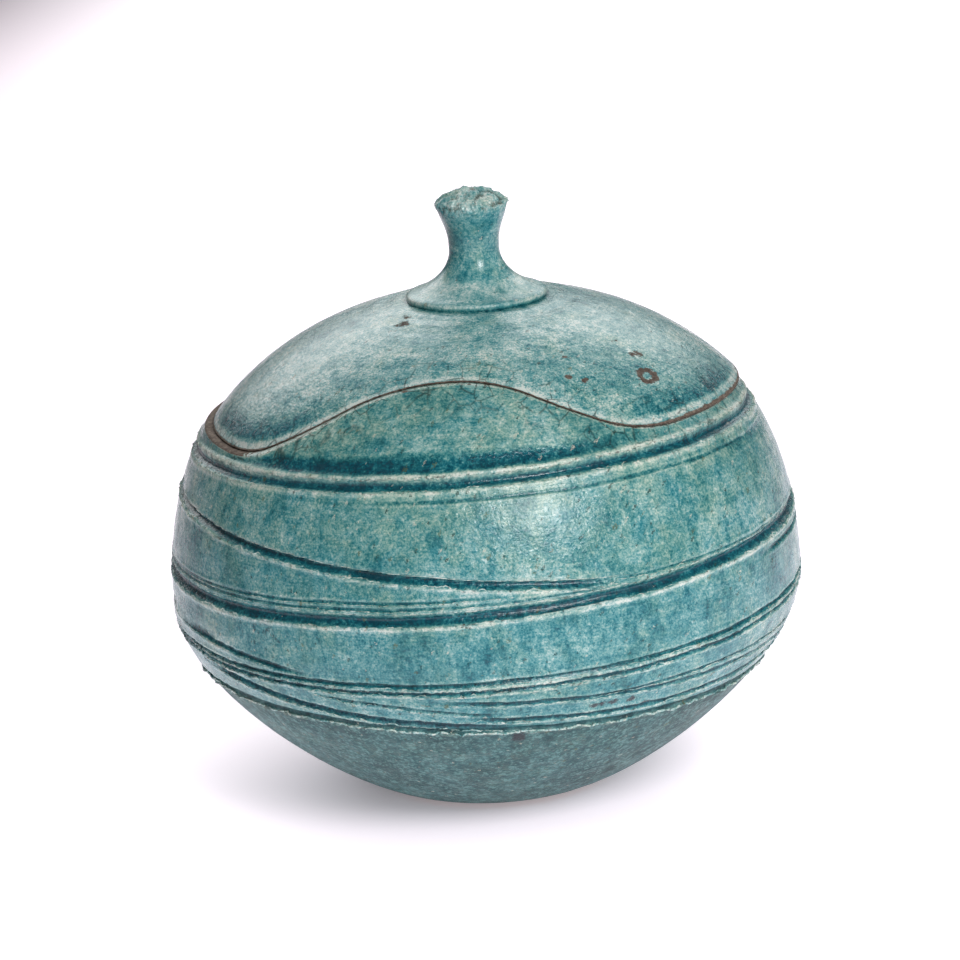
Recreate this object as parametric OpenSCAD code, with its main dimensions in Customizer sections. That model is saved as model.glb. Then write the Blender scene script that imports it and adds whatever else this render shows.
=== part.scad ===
// Raku lidded jar: one closed thrown form, cut apart along a wavy seam into a jar and its lid.
// Z is up, the foot stands on z = 0, and the tall crest of the seam faces -Y, the front.
// Azimuths run from the front, 0 degrees at -Y, and grow towards +X.

/* [Closed form] */
// Diameter at the belly, the widest place
belly_d = 219.6; // [200:0.2:240]
// Height of the belly above the foot
belly_z = 73; // [66:0.5:80]
// Height of the crown, where the knob stands
crown_z = 174; // [164:0.2:184]
// Radius of the shoulder
shoulder_r = 86.6; // [80:0.2:92]
// Height of the shoulder
shoulder_z = 142.4; // [134:0.2:150]
// Slope of the wall at the shoulder, in degrees
shoulder_slope = 44.4; // [38:0.2:50]
// Length over which the wall leaves the belly upwards
belly_up = 25.3; // [18:0.1:32]
// Length over which the wall comes up to the shoulder
shoulder_below = 23.5; // [16:0.1:30]
// Length over which the wall leaves the shoulder
shoulder_above = 33.7; // [26:0.1:40]
// Length over which the crown runs level
crown_level = 32.1; // [24:0.1:40]
// Length over which the wall leaves the belly downwards
belly_down = 28.9; // [20:0.1:36]
// Thickness of the wall
wall = 6; // [5:0.1:8]

/* [Foot] */
// Diameter of the foot
foot_d = 64; // [56:0.5:72]
// Length over which the wall leaves the foot
foot_out = 21.7; // [14:0.1:28]
// Slope of the wall where it leaves the foot, in degrees
foot_slope = 5.7; // [3:0.1:10]
// Thickness of the clay at the foot
foot_wall = 9; // [8:0.1:11]
// Width of the foot's standing ring
foot_ring_w = 6; // [4:0.1:9]
// Depth of the hollow turned under the foot
foot_hollow = 2; // [1:0.1:3]

/* [Seam] */
// Place of the front crest to the right of the centre
front_crest_x = -5.7; // [-12:0.1:0]
// Height of the front crest
front_crest_z = 157.8; // [154:0.1:160]
// Place of the left low to the right of the centre
left_low_x = -84.9; // [-88:0.1:-78]
// Height of the left low
left_low_z = 133.2; // [130:0.1:137]
// Place of the right low to the right of the centre
right_low_x = 66.8; // [60:0.1:74]
// Height of the right low
right_low_z = 139.3; // [136:0.1:142]
// Place of the back crest to the right of the centre
back_crest_x = 11; // [4:0.1:18]
// Height of the back crest
back_crest_z = 149; // [146:0.1:153]
// Gap between the two cut edges
seam_gap = 0.3; // [0.2:0.05:0.6]
// How far the lid sits to the right of the jar
lid_shift = 2.2; // [0:0.1:3]

/* [Locating strip] */
// Thickness of the strip inside the lid
strip_t = 4; // [3:0.1:6]
// How far the strip hangs below the seam
strip_drop = 8; // [6:0.1:12]
// Least gap between the strip and the jar's rim
strip_clear = 0.6; // [0.4:0.05:1.2]

/* [Knob] */
// Diameter of the knob's base
knob_base_d = 48.6; // [42:0.2:56]
// Height of the base's upright edge
knob_edge_h = 2; // [1:0.1:3]
// Diameter of the neck
knob_neck_d = 17.4; // [14:0.2:20]
// Height of the neck above the knob's seat
knob_neck_h = 17; // [14:0.2:20]
// Diameter of the top
knob_top_d = 25.8; // [22:0.2:30]
// Height of the top's edge above the knob's seat
knob_top_h = 33; // [29:0.2:38]
// Rise of the top above its edge
knob_crown_h = 5.9; // [4:0.1:8]

/* [Carving] */
// Width of a carved line
groove_w = 3.6; // [2.8:0.1:4.4]
// Depth of a carved line
groove_depth = 1.4; // [0.8:0.1:1.8]

/* [Hidden] */
$fn = 96;

glaze_colour = "#3f8f98";
lid_colour = "#5aa3a9";
knob_colour = "#4b979d";
clay_colour = "#8d6f62";

belly_r = belly_d / 2;
foot_r = foot_d / 2;
knob_base_r = knob_base_d / 2;
knob_neck_r = knob_neck_d / 2;
knob_top_r = knob_top_d / 2;
reach = belly_d;
overrun = wall / 4;
span_steps = 12;
arc_steps = 8;
strip_steps = 72;
rim_steps = 12;

// How much steeper the seam's flanks are than a straight line from crest to low
flank_share = 0.5;
// The crest's part of the bends of a flank, on the left, the right and the back
left_bend_share = 0.74;
right_bend_share = 0.48;
back_bend_share = 0.55;
// Handles of the knob's curves, as parts of the width or height that each curve spans
cove_share = 0.55;
cove_lift_share = 2.1;
sweep_share = 0.48;
flare_share = 0.42;
tip_share = 0.3;

// The part of a carved line's width that is its steep upper side
bevel_share = 0.3;

// Carved lines: mean height, rise to the right and rise to the front, as shares of crown_z,
// the azimuths where the line starts and ends, and its size as a share of the carving sizes.
carving_shares = [
    [0.743, 0.018, 0.015, 0, 360, 1.0],
    [0.603, -0.051, -0.025, -262, 32, 0.95],
    [0.531, 0.033, -0.012, 0, 360, 1.1],
    [0.364, -0.068, -0.014, -100, -32, 0.6],
    [0.410, 0.018, -0.025, 0, 360, 0.7],
    [0.399, 0.016, -0.032, -105, 110, 0.5],
    [0.367, -0.035, -0.082, -66, 8, 0.9],
    [0.353, -0.025, -0.013, -14, 236, 0.6],
    [0.359, -0.041, -0.057, -8, 192, 0.7],
    [0.286, -0.021, -0.014, 0, 360, 0.65],
];

// A point on a cubic curve from a to d with the handles b and c
function curve_point(a, b, c, d, t) =
    pow(1 - t, 3) * a + 3 * t * pow(1 - t, 2) * b + 3 * t * t * (1 - t) * c + t * t * t * d;

// The direction of the same curve
function curve_slope(a, b, c, d, t) =
    pow(1 - t, 2) * (b - a) + 2 * t * (1 - t) * (c - b) + t * t * (d - c);

// A point moved square to the direction by a distance, to the left of it
function beside(p, direction, distance) =
    p + distance * [-direction.y, direction.x] / norm(direction);

function reversed(list) = [for (i = [len(list) - 1:-1:0]) list[i]];
function after_first(list) = [for (i = [1:len(list) - 1]) list[i]];

// The four handles of each span of the wall's outline, from the foot to the crown
foot_end = [foot_r, 0];
belly = [belly_r, belly_z];
shoulder = [shoulder_r, shoulder_z];
shoulder_way = [-cos(shoulder_slope), sin(shoulder_slope)];
crown = [0, crown_z];
lower_span = [
    foot_end,
    foot_end + foot_out * [cos(foot_slope), sin(foot_slope)],
    belly - [0, belly_down],
    belly,
];
side_span = [belly, belly + [0, belly_up], shoulder - shoulder_below * shoulder_way, shoulder];
dome_span = [shoulder, shoulder + shoulder_above * shoulder_way, crown + [crown_level, 0], crown];

// Points of a span, moved inwards by a depth that may change along it
function span_points(s, first, depth_start, depth_end) =
    [for (i = [first:span_steps])
        let (
            t = i / span_steps,
            p = curve_point(s[0], s[1], s[2], s[3], t),
            way = curve_slope(s[0], s[1], s[2], s[3], t),
            depth = depth_start + (depth_end - depth_start) * t
        )
        depth == 0 ? p : beside(p, way, depth)];

outer_points = concat(
    span_points(lower_span, 0, 0, 0),
    span_points(side_span, 1, 0, 0),
    span_points(dome_span, 1, 0, 0)
);
inner_lower = span_points(lower_span, 0, foot_wall, wall);
inner_upper = concat(span_points(side_span, 1, wall, wall), span_points(dome_span, 1, wall, wall));

// Radius of the outer and of the inner face by height, and height of the outer face by radius
outer_by_height = [for (p = outer_points) [p.y, p.x]];
inner_by_height = [for (p = inner_upper) [p.y, p.x]];
dome_by_radius = [for (p = reversed(span_points(dome_span, 0, 0, 0))) [p.x, p.y]];
function outer_r(z) = lookup(z, outer_by_height);
function inner_r(z) = lookup(z, inner_by_height);
knob_seat_z = lookup(knob_base_r, dome_by_radius);

// Half a wave from a crest to a low: an arc, a straight flank and an arc the other way
function half_wave(crest, low, bend_share) =
    let (
        run = abs(low.x - crest.x),
        drop = crest.y - low.y,
        side = sign(low.x - crest.x),
        steep = (1 + flank_share) * atan(drop / run),
        bends = (run * sin(steep) - drop * cos(steep)) / (1 - cos(steep)),
        crest_bend = bend_share * bends,
        low_bend = bends - crest_bend
    )
    concat(
        [for (i = [0:arc_steps])
            let (turn = steep * i / arc_steps)
            crest + crest_bend * [side * sin(turn), cos(turn) - 1]],
        [for (i = [arc_steps:-1:0])
            let (turn = steep * i / arc_steps)
            low + low_bend * [-side * sin(turn), 1 - cos(turn)]]
    );

// The seam seen from the front, as a line from far left to far right
function seam_line(crest, left_share, right_share) =
    concat(
        [[-reach, left_low_z]],
        reversed(half_wave(crest, [left_low_x, left_low_z], left_share)),
        after_first(half_wave(crest, [right_low_x, right_low_z], right_share)),
        [[reach, right_low_z]]
    );

front_line = seam_line([front_crest_x, front_crest_z], left_bend_share, right_bend_share);
back_line = seam_line([back_crest_x, back_crest_z], back_bend_share, back_bend_share);
function seam_z(x, y) = lookup(x, y < 0 ? front_line : back_line);

// Plan radius of the jar's inner rim edge at an angle from +X, found by going back and forth
// between the radius and the height of the seam there
function rim_r(angle, r, steps) =
    steps < 1 ? r : rim_r(angle, inner_r(seam_z(r * cos(angle), r * sin(angle))), steps - 1);

function rim_outline(inset) =
    [for (i = [0:strip_steps - 1])
        let (
            angle = 360 * (i + 0.5) / strip_steps,
            r = rim_r(angle, shoulder_r, rim_steps) - inset
        )
        r * [cos(angle), sin(angle)]];

module closed_form() {
    rotate_extrude()
        polygon(concat([[0, 0]], [for (p = outer_points) [p.x, min(p.y, knob_seat_z)]], [[0, knob_seat_z]]));
}

module cavity() {
    rotate_extrude()
        polygon(concat([[0, inner_lower[0].y]], inner_lower, inner_upper));
}

module seam_half(line, lift) {
    rotate([90, 0, 0])
        linear_extrude(reach)
            translate([0, lift])
                polygon(concat(line, [[reach, reach], [-reach, reach]]));
}

// All the space above the seam, raised by a lift
module above_seam(lift) {
    seam_half(front_line, lift);
    translate([0, reach, 0])
        seam_half(back_line, lift);
}

// One carved line: part of a tilted ring, moved sideways so that it stays in the sloping wall
module carved_line(share) {
    z = share[0] * crown_z;
    right_rise = share[1] * crown_z;
    front_rise = share[2] * crown_z;
    start = share[3];
    sweep = share[4] - start;
    width = share[5] * groove_w;
    depth = share[5] * groove_depth;
    climb = norm([right_rise, front_rise]);
    highest = atan2(right_rise, front_rise);
    middle_z = sweep < 360 ? z + climb * cos(start + sweep / 2 - highest) : z;
    lean = (outer_r(middle_z + groove_w) - outer_r(middle_z - groove_w)) / (2 * groove_w);
    r = outer_r(middle_z) - lean * (middle_z - z);
    widen = (depth + overrun) / depth;
    rotate([0, 0, highest - 90])
        translate([lean * climb, 0, z])
            rotate([0, -atan(climb / r), 0])
                rotate([0, 0, start - highest])
                    rotate_extrude(angle = sweep)
                        translate([r, 0])
                            rotate(-atan(lean))
                                polygon([
                                    [-depth, 0],
                                    [overrun, (bevel_share - 1) * width * widen],
                                    [overrun, bevel_share * width * widen],
                                ]);
}

// Thrown and carved jar with its turned foot
module jar_body() {
    color(glaze_colour)
        difference() {
            closed_form();
            cavity();
            above_seam(0);
            translate([0, 0, -overrun])
                cylinder(h = overrun + foot_hollow, r = foot_r - foot_ring_w);
            for (share = carving_shares)
                carved_line(share);
        }
}

// Cap cut from the same closed form
module lid_dome() {
    color(lid_colour)
        intersection() {
            translate([lid_shift, 0, 0])
                difference() {
                    closed_form();
                    cavity();
                }
            above_seam(seam_gap);
        }
}

// Thrown knob, luted to the crown
module lid_knob() {
    top_rise = knob_top_h - knob_neck_h;
    foot_rise = knob_neck_h - knob_edge_h;
    edge = [knob_base_r, knob_edge_h];
    neck = [knob_neck_r, knob_neck_h];
    top = [knob_top_r, knob_top_h];
    tip = [0, knob_top_h + knob_crown_h];
    cove = [edge, edge + cove_share * [knob_neck_r - knob_base_r, cove_lift_share * knob_edge_h],
        neck - [0, sweep_share * foot_rise], neck];
    flare = [neck, neck + [0, sweep_share * top_rise],
        top - flare_share * [knob_top_r - knob_neck_r, top_rise], top];
    cap = [top, top + [0, tip_share * knob_crown_h], tip + [sweep_share * knob_top_r, 0], tip];
    color(knob_colour)
        translate([lid_shift, 0, knob_seat_z])
            rotate_extrude()
                polygon(concat(
                    [[0, 0], [knob_base_r, 0]],
                    span_points(cove, 0, 0, 0),
                    span_points(flare, 1, 0, 0),
                    span_points(cap, 1, 0, 0)
                ));
}

// Strip of clay luted inside the lid, which hangs into the jar and keeps the lid in place
module lid_strip() {
    inset = lid_shift + strip_clear;
    color(clay_colour)
        intersection() {
            translate([lid_shift, 0, 0])
                linear_extrude(crown_z)
                    difference() {
                        polygon(rim_outline(inset));
                        polygon(rim_outline(inset + strip_t));
                    }
            above_seam(-strip_drop);
            translate([lid_shift, 0, 0])
                cavity();
        }
}

jar_body();
lid_dome();
lid_knob();
lid_strip();
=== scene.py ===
# %% [markdown]
# # A raku jar with a wavy lid
# The CAD model gives the jar its measured form and its moving lid. This script loads it as a
# fixed frame and makes the looks around it: the carved clay, the glaze, the light and the
# camera. Each cell makes one thing, and most print what they made.

# %% Load the frame
import math

import bpy
import numpy as np
from mathutils import Matrix, Vector


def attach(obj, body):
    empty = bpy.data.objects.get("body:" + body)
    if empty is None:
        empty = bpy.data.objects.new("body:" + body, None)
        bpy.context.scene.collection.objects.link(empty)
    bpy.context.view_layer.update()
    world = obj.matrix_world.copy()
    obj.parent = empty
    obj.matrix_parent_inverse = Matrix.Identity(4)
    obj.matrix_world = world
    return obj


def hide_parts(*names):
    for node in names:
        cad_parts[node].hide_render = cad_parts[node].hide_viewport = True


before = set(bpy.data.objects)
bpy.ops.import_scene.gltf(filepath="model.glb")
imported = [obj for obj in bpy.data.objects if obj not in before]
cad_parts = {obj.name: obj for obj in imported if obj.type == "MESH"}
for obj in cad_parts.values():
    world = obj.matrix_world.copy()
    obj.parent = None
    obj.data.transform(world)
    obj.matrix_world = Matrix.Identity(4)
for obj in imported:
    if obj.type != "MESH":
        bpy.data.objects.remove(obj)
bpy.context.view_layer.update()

# %% [markdown]
# ## The camera first
# A photograph of a pot is nearly always taken from a little above the rim and from far away,
# so that the round form isn't stretched. The camera here stands 1.6 m off and 15.5 degrees up.
# It could be aimed with a Track To constraint, but the picture is also rolled by a few
# degrees, so its three axes are worked out and written straight into its matrix.

# %% Camera
IMAGE_PX = 960
FOCAL_PX = 4596
SENSOR_MM = 36.0
DISTANCE = 1.6
ELEVATION = math.radians(15.5)
ROLL = math.radians(3.34)
AIM = Vector((0, 0, 0.0922))
AIM_PX = (483.5, 520.5)


def new_object(name, data):
    """An object in the scene's collection."""
    made = bpy.data.objects.new(name, data)
    bpy.context.collection.objects.link(made)
    return made


level_forward = Vector((0, math.cos(ELEVATION), -math.sin(ELEVATION)))
level_up = Vector((0, math.sin(ELEVATION), math.cos(ELEVATION)))
side = Vector((1, 0, 0))
rolled_right = math.cos(ROLL) * side - math.sin(ROLL) * level_up
rolled_up = math.sin(ROLL) * side + math.cos(ROLL) * level_up

across = (AIM_PX[0] - IMAGE_PX / 2) / FOCAL_PX
down = (AIM_PX[1] - IMAGE_PX / 2) / FOCAL_PX
forward = (level_forward - across * rolled_right + down * rolled_up).normalized()
right = (rolled_right - rolled_right.dot(forward) * forward).normalized()
up = right.cross(forward)

camera = new_object("camera", bpy.data.cameras.new("camera"))
camera.data.sensor_width = SENSOR_MM
camera.data.lens = FOCAL_PX * SENSOR_MM / IMAGE_PX
axes = Matrix((right, up, -forward)).transposed()
camera.matrix_world = Matrix.Translation(AIM - DISTANCE * level_forward) @ axes.to_4x4()
bpy.context.scene.camera = camera
print("camera lens", round(camera.data.lens, 1), "mm at", [round(v, 3) for v in camera.location])

# %% [markdown]
# ## The thrown form
# Jar and lid were thrown as one closed form and cut apart later. Its outline could be traced
# point by point, but a thrown wall is a smooth curve, so three cubic spans say the same with
# a few sizes: foot to belly, belly to shoulder and shoulder to crown. The inside is the same
# curve moved inwards by the thickness of the wall. All sizes here are in millimetres.

# %% Outline of the wall
MM = 0.001
BELLY_R = 109.8
BELLY_Z = 73.0
CROWN_Z = 174.0
FOOT_R = 32.0
FOOT_RING_W = 6.0
FOOT_HOLLOW = 2.0
SHOULDER = np.array((86.6, 142.4))
SHOULDER_SLOPE = math.radians(44.4)
FOOT_SLOPE = math.radians(5.7)
WALL = 6.0
FOOT_WALL = 9.0
SPAN_STEPS = 160

# Lengths of the spans' handles: one at the foot and at the crown, two at the joins, lower first
FOOT_HANDLE = 21.7
BELLY_HANDLES = (28.9, 25.3)
SHOULDER_HANDLES = (23.5, 33.7)
CROWN_HANDLE = 32.1

foot_way = np.array((math.cos(FOOT_SLOPE), math.sin(FOOT_SLOPE)))
shoulder_way = np.array((-math.cos(SHOULDER_SLOPE), math.sin(SHOULDER_SLOPE)))
foot = np.array((FOOT_R, 0.0))
belly = np.array((BELLY_R, BELLY_Z))
crown = np.array((0.0, CROWN_Z))
below_shoulder = SHOULDER - SHOULDER_HANDLES[0] * shoulder_way
above_shoulder = SHOULDER + SHOULDER_HANDLES[1] * shoulder_way
lower_span = (foot, foot + FOOT_HANDLE * foot_way, belly - (0, BELLY_HANDLES[0]), belly)
side_span = (belly, belly + (0, BELLY_HANDLES[1]), below_shoulder, SHOULDER)
dome_span = (SHOULDER, above_shoulder, crown + (CROWN_HANDLE, 0), crown)


def span_points(handles, steps, start_depth=0.0, end_depth=0.0):
    """Points on a cubic span, moved to its left by a depth that may change along it."""
    a, b, c, d = handles
    t = np.linspace(0, 1, steps + 1)[:, None]
    point = (1 - t) ** 3 * a + 3 * t * (1 - t) ** 2 * b + 3 * t * t * (1 - t) * c + t**3 * d
    way = (1 - t) ** 2 * (b - a) + 2 * t * (1 - t) * (c - b) + t * t * (d - c)
    way /= np.linalg.norm(way, axis=1)[:, None]
    depth = start_depth + (end_depth - start_depth) * t
    return point + depth * np.stack((-way[:, 1], way[:, 0]), axis=1)


def joined(*spans):
    """One line from spans that share their end points."""
    return np.vstack([spans[0]] + [points[1:] for points in spans[1:]])


outer = joined(*(span_points(handles, SPAN_STEPS) for handles in (lower_span, side_span, dome_span)))
inner = joined(
    span_points(lower_span, SPAN_STEPS, FOOT_WALL, WALL),
    span_points(side_span, SPAN_STEPS, WALL, WALL),
    span_points(dome_span, SPAN_STEPS, WALL, WALL),
)
print("outline", len(outer), "points, widest", round(2 * outer[:, 0].max(), 1), "mm")

# %% [markdown]
# ## The wavy seam
# The potter cut the closed form with a wire or a knife held level from front to back, so seen
# from the front the cut is one line: a tall crest, a deep low on the left and a shallow one on
# the right. The same line gives the jar's rim and the lid's edge, and a lid that was cut this
# way fits in one place only. Each half wave is an arc, a straight flank and an arc the other way.

# %% Seam
FRONT_CREST = (-5.7, 157.8)
BACK_CREST = (11.0, 149.0)
LEFT_LOW = (-84.9, 133.2)
RIGHT_LOW = (66.8, 139.3)
SEAM_GAP = 0.3
LID_SHIFT = 2.2
SEAM_REACH = 2 * BELLY_R
FLANK_SHARE = 0.5
ARC_STEPS = 24
MEET_ROUNDS = 60
COLUMNS = 480

# The crest's part of the two bends, on its left and on its right
FRONT_BENDS = (0.74, 0.48)
BACK_BENDS = (0.55, 0.55)


def half_wave(crest, low, bend_share):
    """Points from a crest to a low; bend_share is the crest's part of the two bends."""
    run = abs(low[0] - crest[0])
    drop = crest[1] - low[1]
    way = math.copysign(1, low[0] - crest[0])
    steep = (1 + FLANK_SHARE) * math.atan(drop / run)
    bends = (run * math.sin(steep) - drop * math.cos(steep)) / (1 - math.cos(steep))
    turn = np.linspace(0, steep, ARC_STEPS + 1)
    over = bend_share * bends * np.stack((way * np.sin(turn), np.cos(turn) - 1), axis=1)
    under = (1 - bend_share) * bends * np.stack((-way * np.sin(turn), 1 - np.cos(turn)), axis=1)
    return np.vstack((np.array(crest) + over, np.array(low) + under[::-1]))


def seam_line(crest, left_share, right_share):
    """The seam seen from the front, from far left to far right."""
    left = half_wave(crest, LEFT_LOW, left_share)[::-1]
    right_part = half_wave(crest, RIGHT_LOW, right_share)[1:]
    ends = (np.array([(-SEAM_REACH, LEFT_LOW[1])]), np.array([(SEAM_REACH, RIGHT_LOW[1])]))
    return np.vstack((ends[0], left, right_part, ends[1]))


front_line = seam_line(FRONT_CREST, *FRONT_BENDS)
back_line = seam_line(BACK_CREST, *BACK_BENDS)
angle = 2 * math.pi * np.arange(COLUMNS) / COLUMNS


def seam_z(x, y):
    """Height of the cut above a place on the plan."""
    front = np.interp(x, front_line[:, 0], front_line[:, 1])
    back = np.interp(x, back_line[:, 0], back_line[:, 1])
    return np.where(y < 0, front, back)


def cut_height(radius, centre_x=0.0):
    """Height of the cut at a radius in each direction from a centre that may lie to the right."""
    return seam_z(centre_x + radius * np.cos(angle), radius * np.sin(angle))


def meet_seam(wall_line, centre_x=0.0, lift=0.0):
    """Radius and height at which a wall meets the cut, found by going back and forth."""
    radius = np.full(COLUMNS, SHOULDER[0])
    for _ in range(MEET_ROUNDS):
        height = cut_height(radius, centre_x) + lift
        radius = 0.5 * (radius + np.interp(height, wall_line[:, 1], wall_line[:, 0]))
    return radius, height


rim_r, rim_z = meet_seam(outer)
mouth_r, mouth_z = meet_seam(inner)
print("rim from", round(rim_z.min(), 1), "to", round(rim_z.max(), 1), "mm high")

# %% [markdown]
# ## A skin of rings
# A wheel-thrown pot is a stack of rings, and so is its mesh. The rings start at a pole under
# the foot, go up the outside, over the cut rim and down the inside to a second pole, so the
# skin is closed. A Screw modifier could turn the outline, but it can't follow the wavy rim or
# put more rings where lines are carved. So the rings are laid between guide lines by numpy,
# and each point also keeps what the carving and the glaze will ask for.

# %% Rings into a mesh
INSET = 0.35


def lengths(line):
    """Length along a line at each of its points."""
    return np.concatenate(([0], np.cumsum(np.linalg.norm(np.diff(line, axis=0), axis=1))))


def lay(line, start, end, rings):
    """Points on a line between two places, one row a ring, left out at the end."""
    share = np.linspace(0, 1, rings, endpoint=False)[:, None]
    place = start + (end - start) * share
    return np.stack([np.interp(place, lengths(line), line[:, i]) for i in (0, 1)], axis=2)


def along(line, height):
    """Length along a line up to a height."""
    return np.interp(height, line[:, 1], lengths(line))


def soft_step(low, high, value):
    """0 below low, 1 above high and smooth between them."""
    t = np.clip((value - low) / (high - low), 0, 1)
    return t * t * (3 - 2 * t)


def soft_band(value, low, full, fading, high):
    """1 from full to fading, 0 below low and above high, and smooth between them."""
    return soft_step(low, full, value) * (1 - soft_step(fading, high, value))


def ring_points(rings):
    """Points in metres from rings of radius and height."""
    x = rings[:, :, 0] * np.cos(angle)
    y = rings[:, :, 0] * np.sin(angle)
    return np.stack((x, y, rings[:, :, 1]), axis=2).reshape(-1, 3) * MM


def new_piece(name, points, faces):
    """An object with a smooth mesh."""
    mesh = bpy.data.meshes.new(name)
    mesh.from_pydata(points.tolist(), [], faces)
    mesh.shade_smooth()
    return new_object(name, mesh)


def skin_mesh(name, rings, bottom, top, facts):
    """A closed mesh from rings of radius and height, a pole at each end and facts for each point."""
    rows = len(rings)
    points = np.vstack((ring_points(rings), np.array([(0, 0, bottom), (0, 0, top)]) * MM))
    index = np.arange(rows * COLUMNS).reshape(rows, COLUMNS)
    ahead = np.roll(index, -1, axis=1)
    quads = np.stack((index[:-1], ahead[:-1], ahead[1:], index[1:]), axis=2).reshape(-1, 4)
    first = [(len(points) - 2, b, a) for a, b in zip(index[0].tolist(), ahead[0].tolist())]
    last = [(len(points) - 1, a, b) for a, b in zip(index[-1].tolist(), ahead[-1].tolist())]
    piece = new_piece(name, points, quads.tolist() + first + last)
    for fact, values in facts.items():
        values = np.broadcast_to(values, (rows, COLUMNS)).ravel()
        ends = (values[0], values[-1])
        layer = piece.data.attributes.new(fact, "FLOAT", "POINT")
        layer.data.foreach_set("value", np.append(values, ends).astype(np.float32))
    print(name, "has", len(points), "points")
    return piece


def mark(rings, x, y, z, length, height):
    """0.5 at the border of an oval mark and 1 in its middle, for each point of the rings."""
    to_right = rings[:, :, 0] * np.cos(angle) - x
    to_back = rings[:, :, 0] * np.sin(angle) - y
    off_middle = np.hypot(np.hypot(to_right, to_back) / length, (rings[:, :, 1] - z) / height)
    return np.clip(1 - 0.5 * off_middle, 0, 1)


def marks(rings, places):
    """The strongest of many marks at each point."""
    return np.maximum.reduce([mark(rings, *place) for place in places])


def corner(before, tip, after, size):
    """Three rings that round a corner between two rings, each point by point."""
    to_before = before - tip
    to_after = after - tip
    to_before /= np.linalg.norm(to_before, axis=1)[:, None]
    to_after /= np.linalg.norm(to_after, axis=1)[:, None]
    return [tip + size * to_before, tip + 0.3 * size * (to_before + to_after), tip + size * to_after]


# %% [markdown]
# ### The jar's rings
# The carved lines lie in two belts, so most of the rings go there. The guides tilt with the
# lines, which were cut while the pot stood a little askew under the tool.

# %% Rings of the jar
RIM_ROUND = 0.5
RIM_RINGS = 4
INSIDE_RINGS = 20
THROW_PITCH = 7.0
THROW_DEPTH = 0.35
FLOOR_RINGS = 6
HOLLOW_STEP = 6.0
FOOT_ROUND = 0.6
FOOT_EDGE_W = 1.5
BARE_LEFT_AT = -95
GUIDES_END = 2.0

# The glaze is satin below the lowest carved line: its height, rise, tilt and fade
SATIN_H = 49.7
SATIN_RISE = -3.7
SATIN_TILT = -2.4
SATIN_FADE = (-1.5, 2.0)

# Where bare clay ends: height above the foot, degrees from the left, and distance from the cut
FOOT_BARE_H = (1.2, 2.6)
BARE_LEFT_SPAN = (30, 42)
SEAM_BARE_MM = (0.1, 0.7)
SEAM_BARE_LEAST = 0.3
RIM_BARE_LEAST = 0.4

# Where the relief of the glaze starts: distance from the cut and height above the foot
SKIN_FROM_CUT = (0.4, 2.0)
SKIN_FROM_FOOT = (0.5, 4.0)
FAINT_SHARE = 0.42

# Height at the front, rise to the right and rings up to the guide, from the foot upwards
GUIDES = [
    (0.0, 0.0, 0),
    (3.0, 0.0, 4),
    (41.0, -1.0, 12),
    (75.0, 3.0, 62),
    (84.0, 4.0, 3),
    (115.0, 1.0, 50),
    (124.5, 3.0, 4),
    (136.0, 3.5, 20),
]
TOP_RINGS = 9
EDGE_BAND = 1.6
EDGE_RINGS = 4

to_right = np.cos(angle)
wall = np.column_stack((outer[:, 0] - INSET, outer[:, 1]))
guide_ways = [along(wall, np.minimum(z + rise * to_right, rim_z - GUIDES_END)) for z, rise, _ in GUIDES]
guide_ways += [along(wall, rim_z) - EDGE_BAND, along(wall, rim_z)]
ring_counts = [rings for _, _, rings in GUIDES[1:]] + [TOP_RINGS, EDGE_RINGS]
outside = np.vstack([
    lay(wall, guide_ways[i], guide_ways[i + 1], rings) for i, rings in enumerate(ring_counts)
])

rim_edge = np.stack((rim_r - INSET, rim_z), axis=1)
mouth_edge = np.stack((mouth_r, mouth_z), axis=1)
across_rim = np.linspace(0, 1, RIM_RINGS + 2)[1:-1, None]
rim_radii = rim_edge[:, 0] + (mouth_edge[:, 0] - rim_edge[:, 0]) * across_rim
rim_rings = np.stack((rim_radii, cut_height(rim_radii)), axis=2)

inside_way = along(inner, mouth_z)
inside = lay(inner, inside_way, np.zeros(COLUMNS), INSIDE_RINGS)
thrown = THROW_DEPTH * np.sin(2 * math.pi * inside[:, :, 1] / THROW_PITCH)
inside[1:, :, 0] += thrown[1:]
floor_r = inner[0, 0] * np.linspace(1, 0, FLOOR_RINGS + 1)[:-1]
floor_line = np.stack((floor_r, np.full(FLOOR_RINGS, inner[0, 1])), axis=1)
floor_rings = floor_line[:, None, :].repeat(COLUMNS, axis=1)

ring_in_r = FOOT_R - FOOT_RING_W
under = np.array([
    (ring_in_r - HOLLOW_STEP, FOOT_HOLLOW),
    (ring_in_r - FOOT_ROUND, FOOT_HOLLOW),
    (ring_in_r, FOOT_HOLLOW - FOOT_ROUND),
    (ring_in_r + FOOT_ROUND, 0.0),
    (FOOT_R - FOOT_EDGE_W, 0.0),
])[:, None, :].repeat(COLUMNS, axis=1)

edge_rings = corner(outside[-1], rim_edge, rim_rings[0], RIM_ROUND)
mouth_rings = corner(rim_rings[-1], mouth_edge, inside[1], RIM_ROUND)
below_edge = outside[:-1]
jar_rings = np.concatenate((
    under, below_edge, edge_rings, rim_rings, mouth_rings, inside[1:], floor_rings
))

row = np.arange(len(jar_rings))
wall_end = len(under) + len(below_edge)
on_wall = ((row >= len(under)) & (row < wall_end))[:, None]
height = jar_rings[:, :, 1]
wall_way = np.broadcast_to(along(wall, rim_z), height.shape) - along(wall, height)
edge_distance = np.where(on_wall, wall_way, 0.0)
slope = np.gradient(along(outer, outer[:, 1]), outer[:, 1])
stretch = np.interp(height, outer[:, 1], slope)
foot_bare = 1 - soft_step(*FOOT_BARE_H, height)
azimuth = (np.degrees(angle) + 270) % 360 - 180

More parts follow.
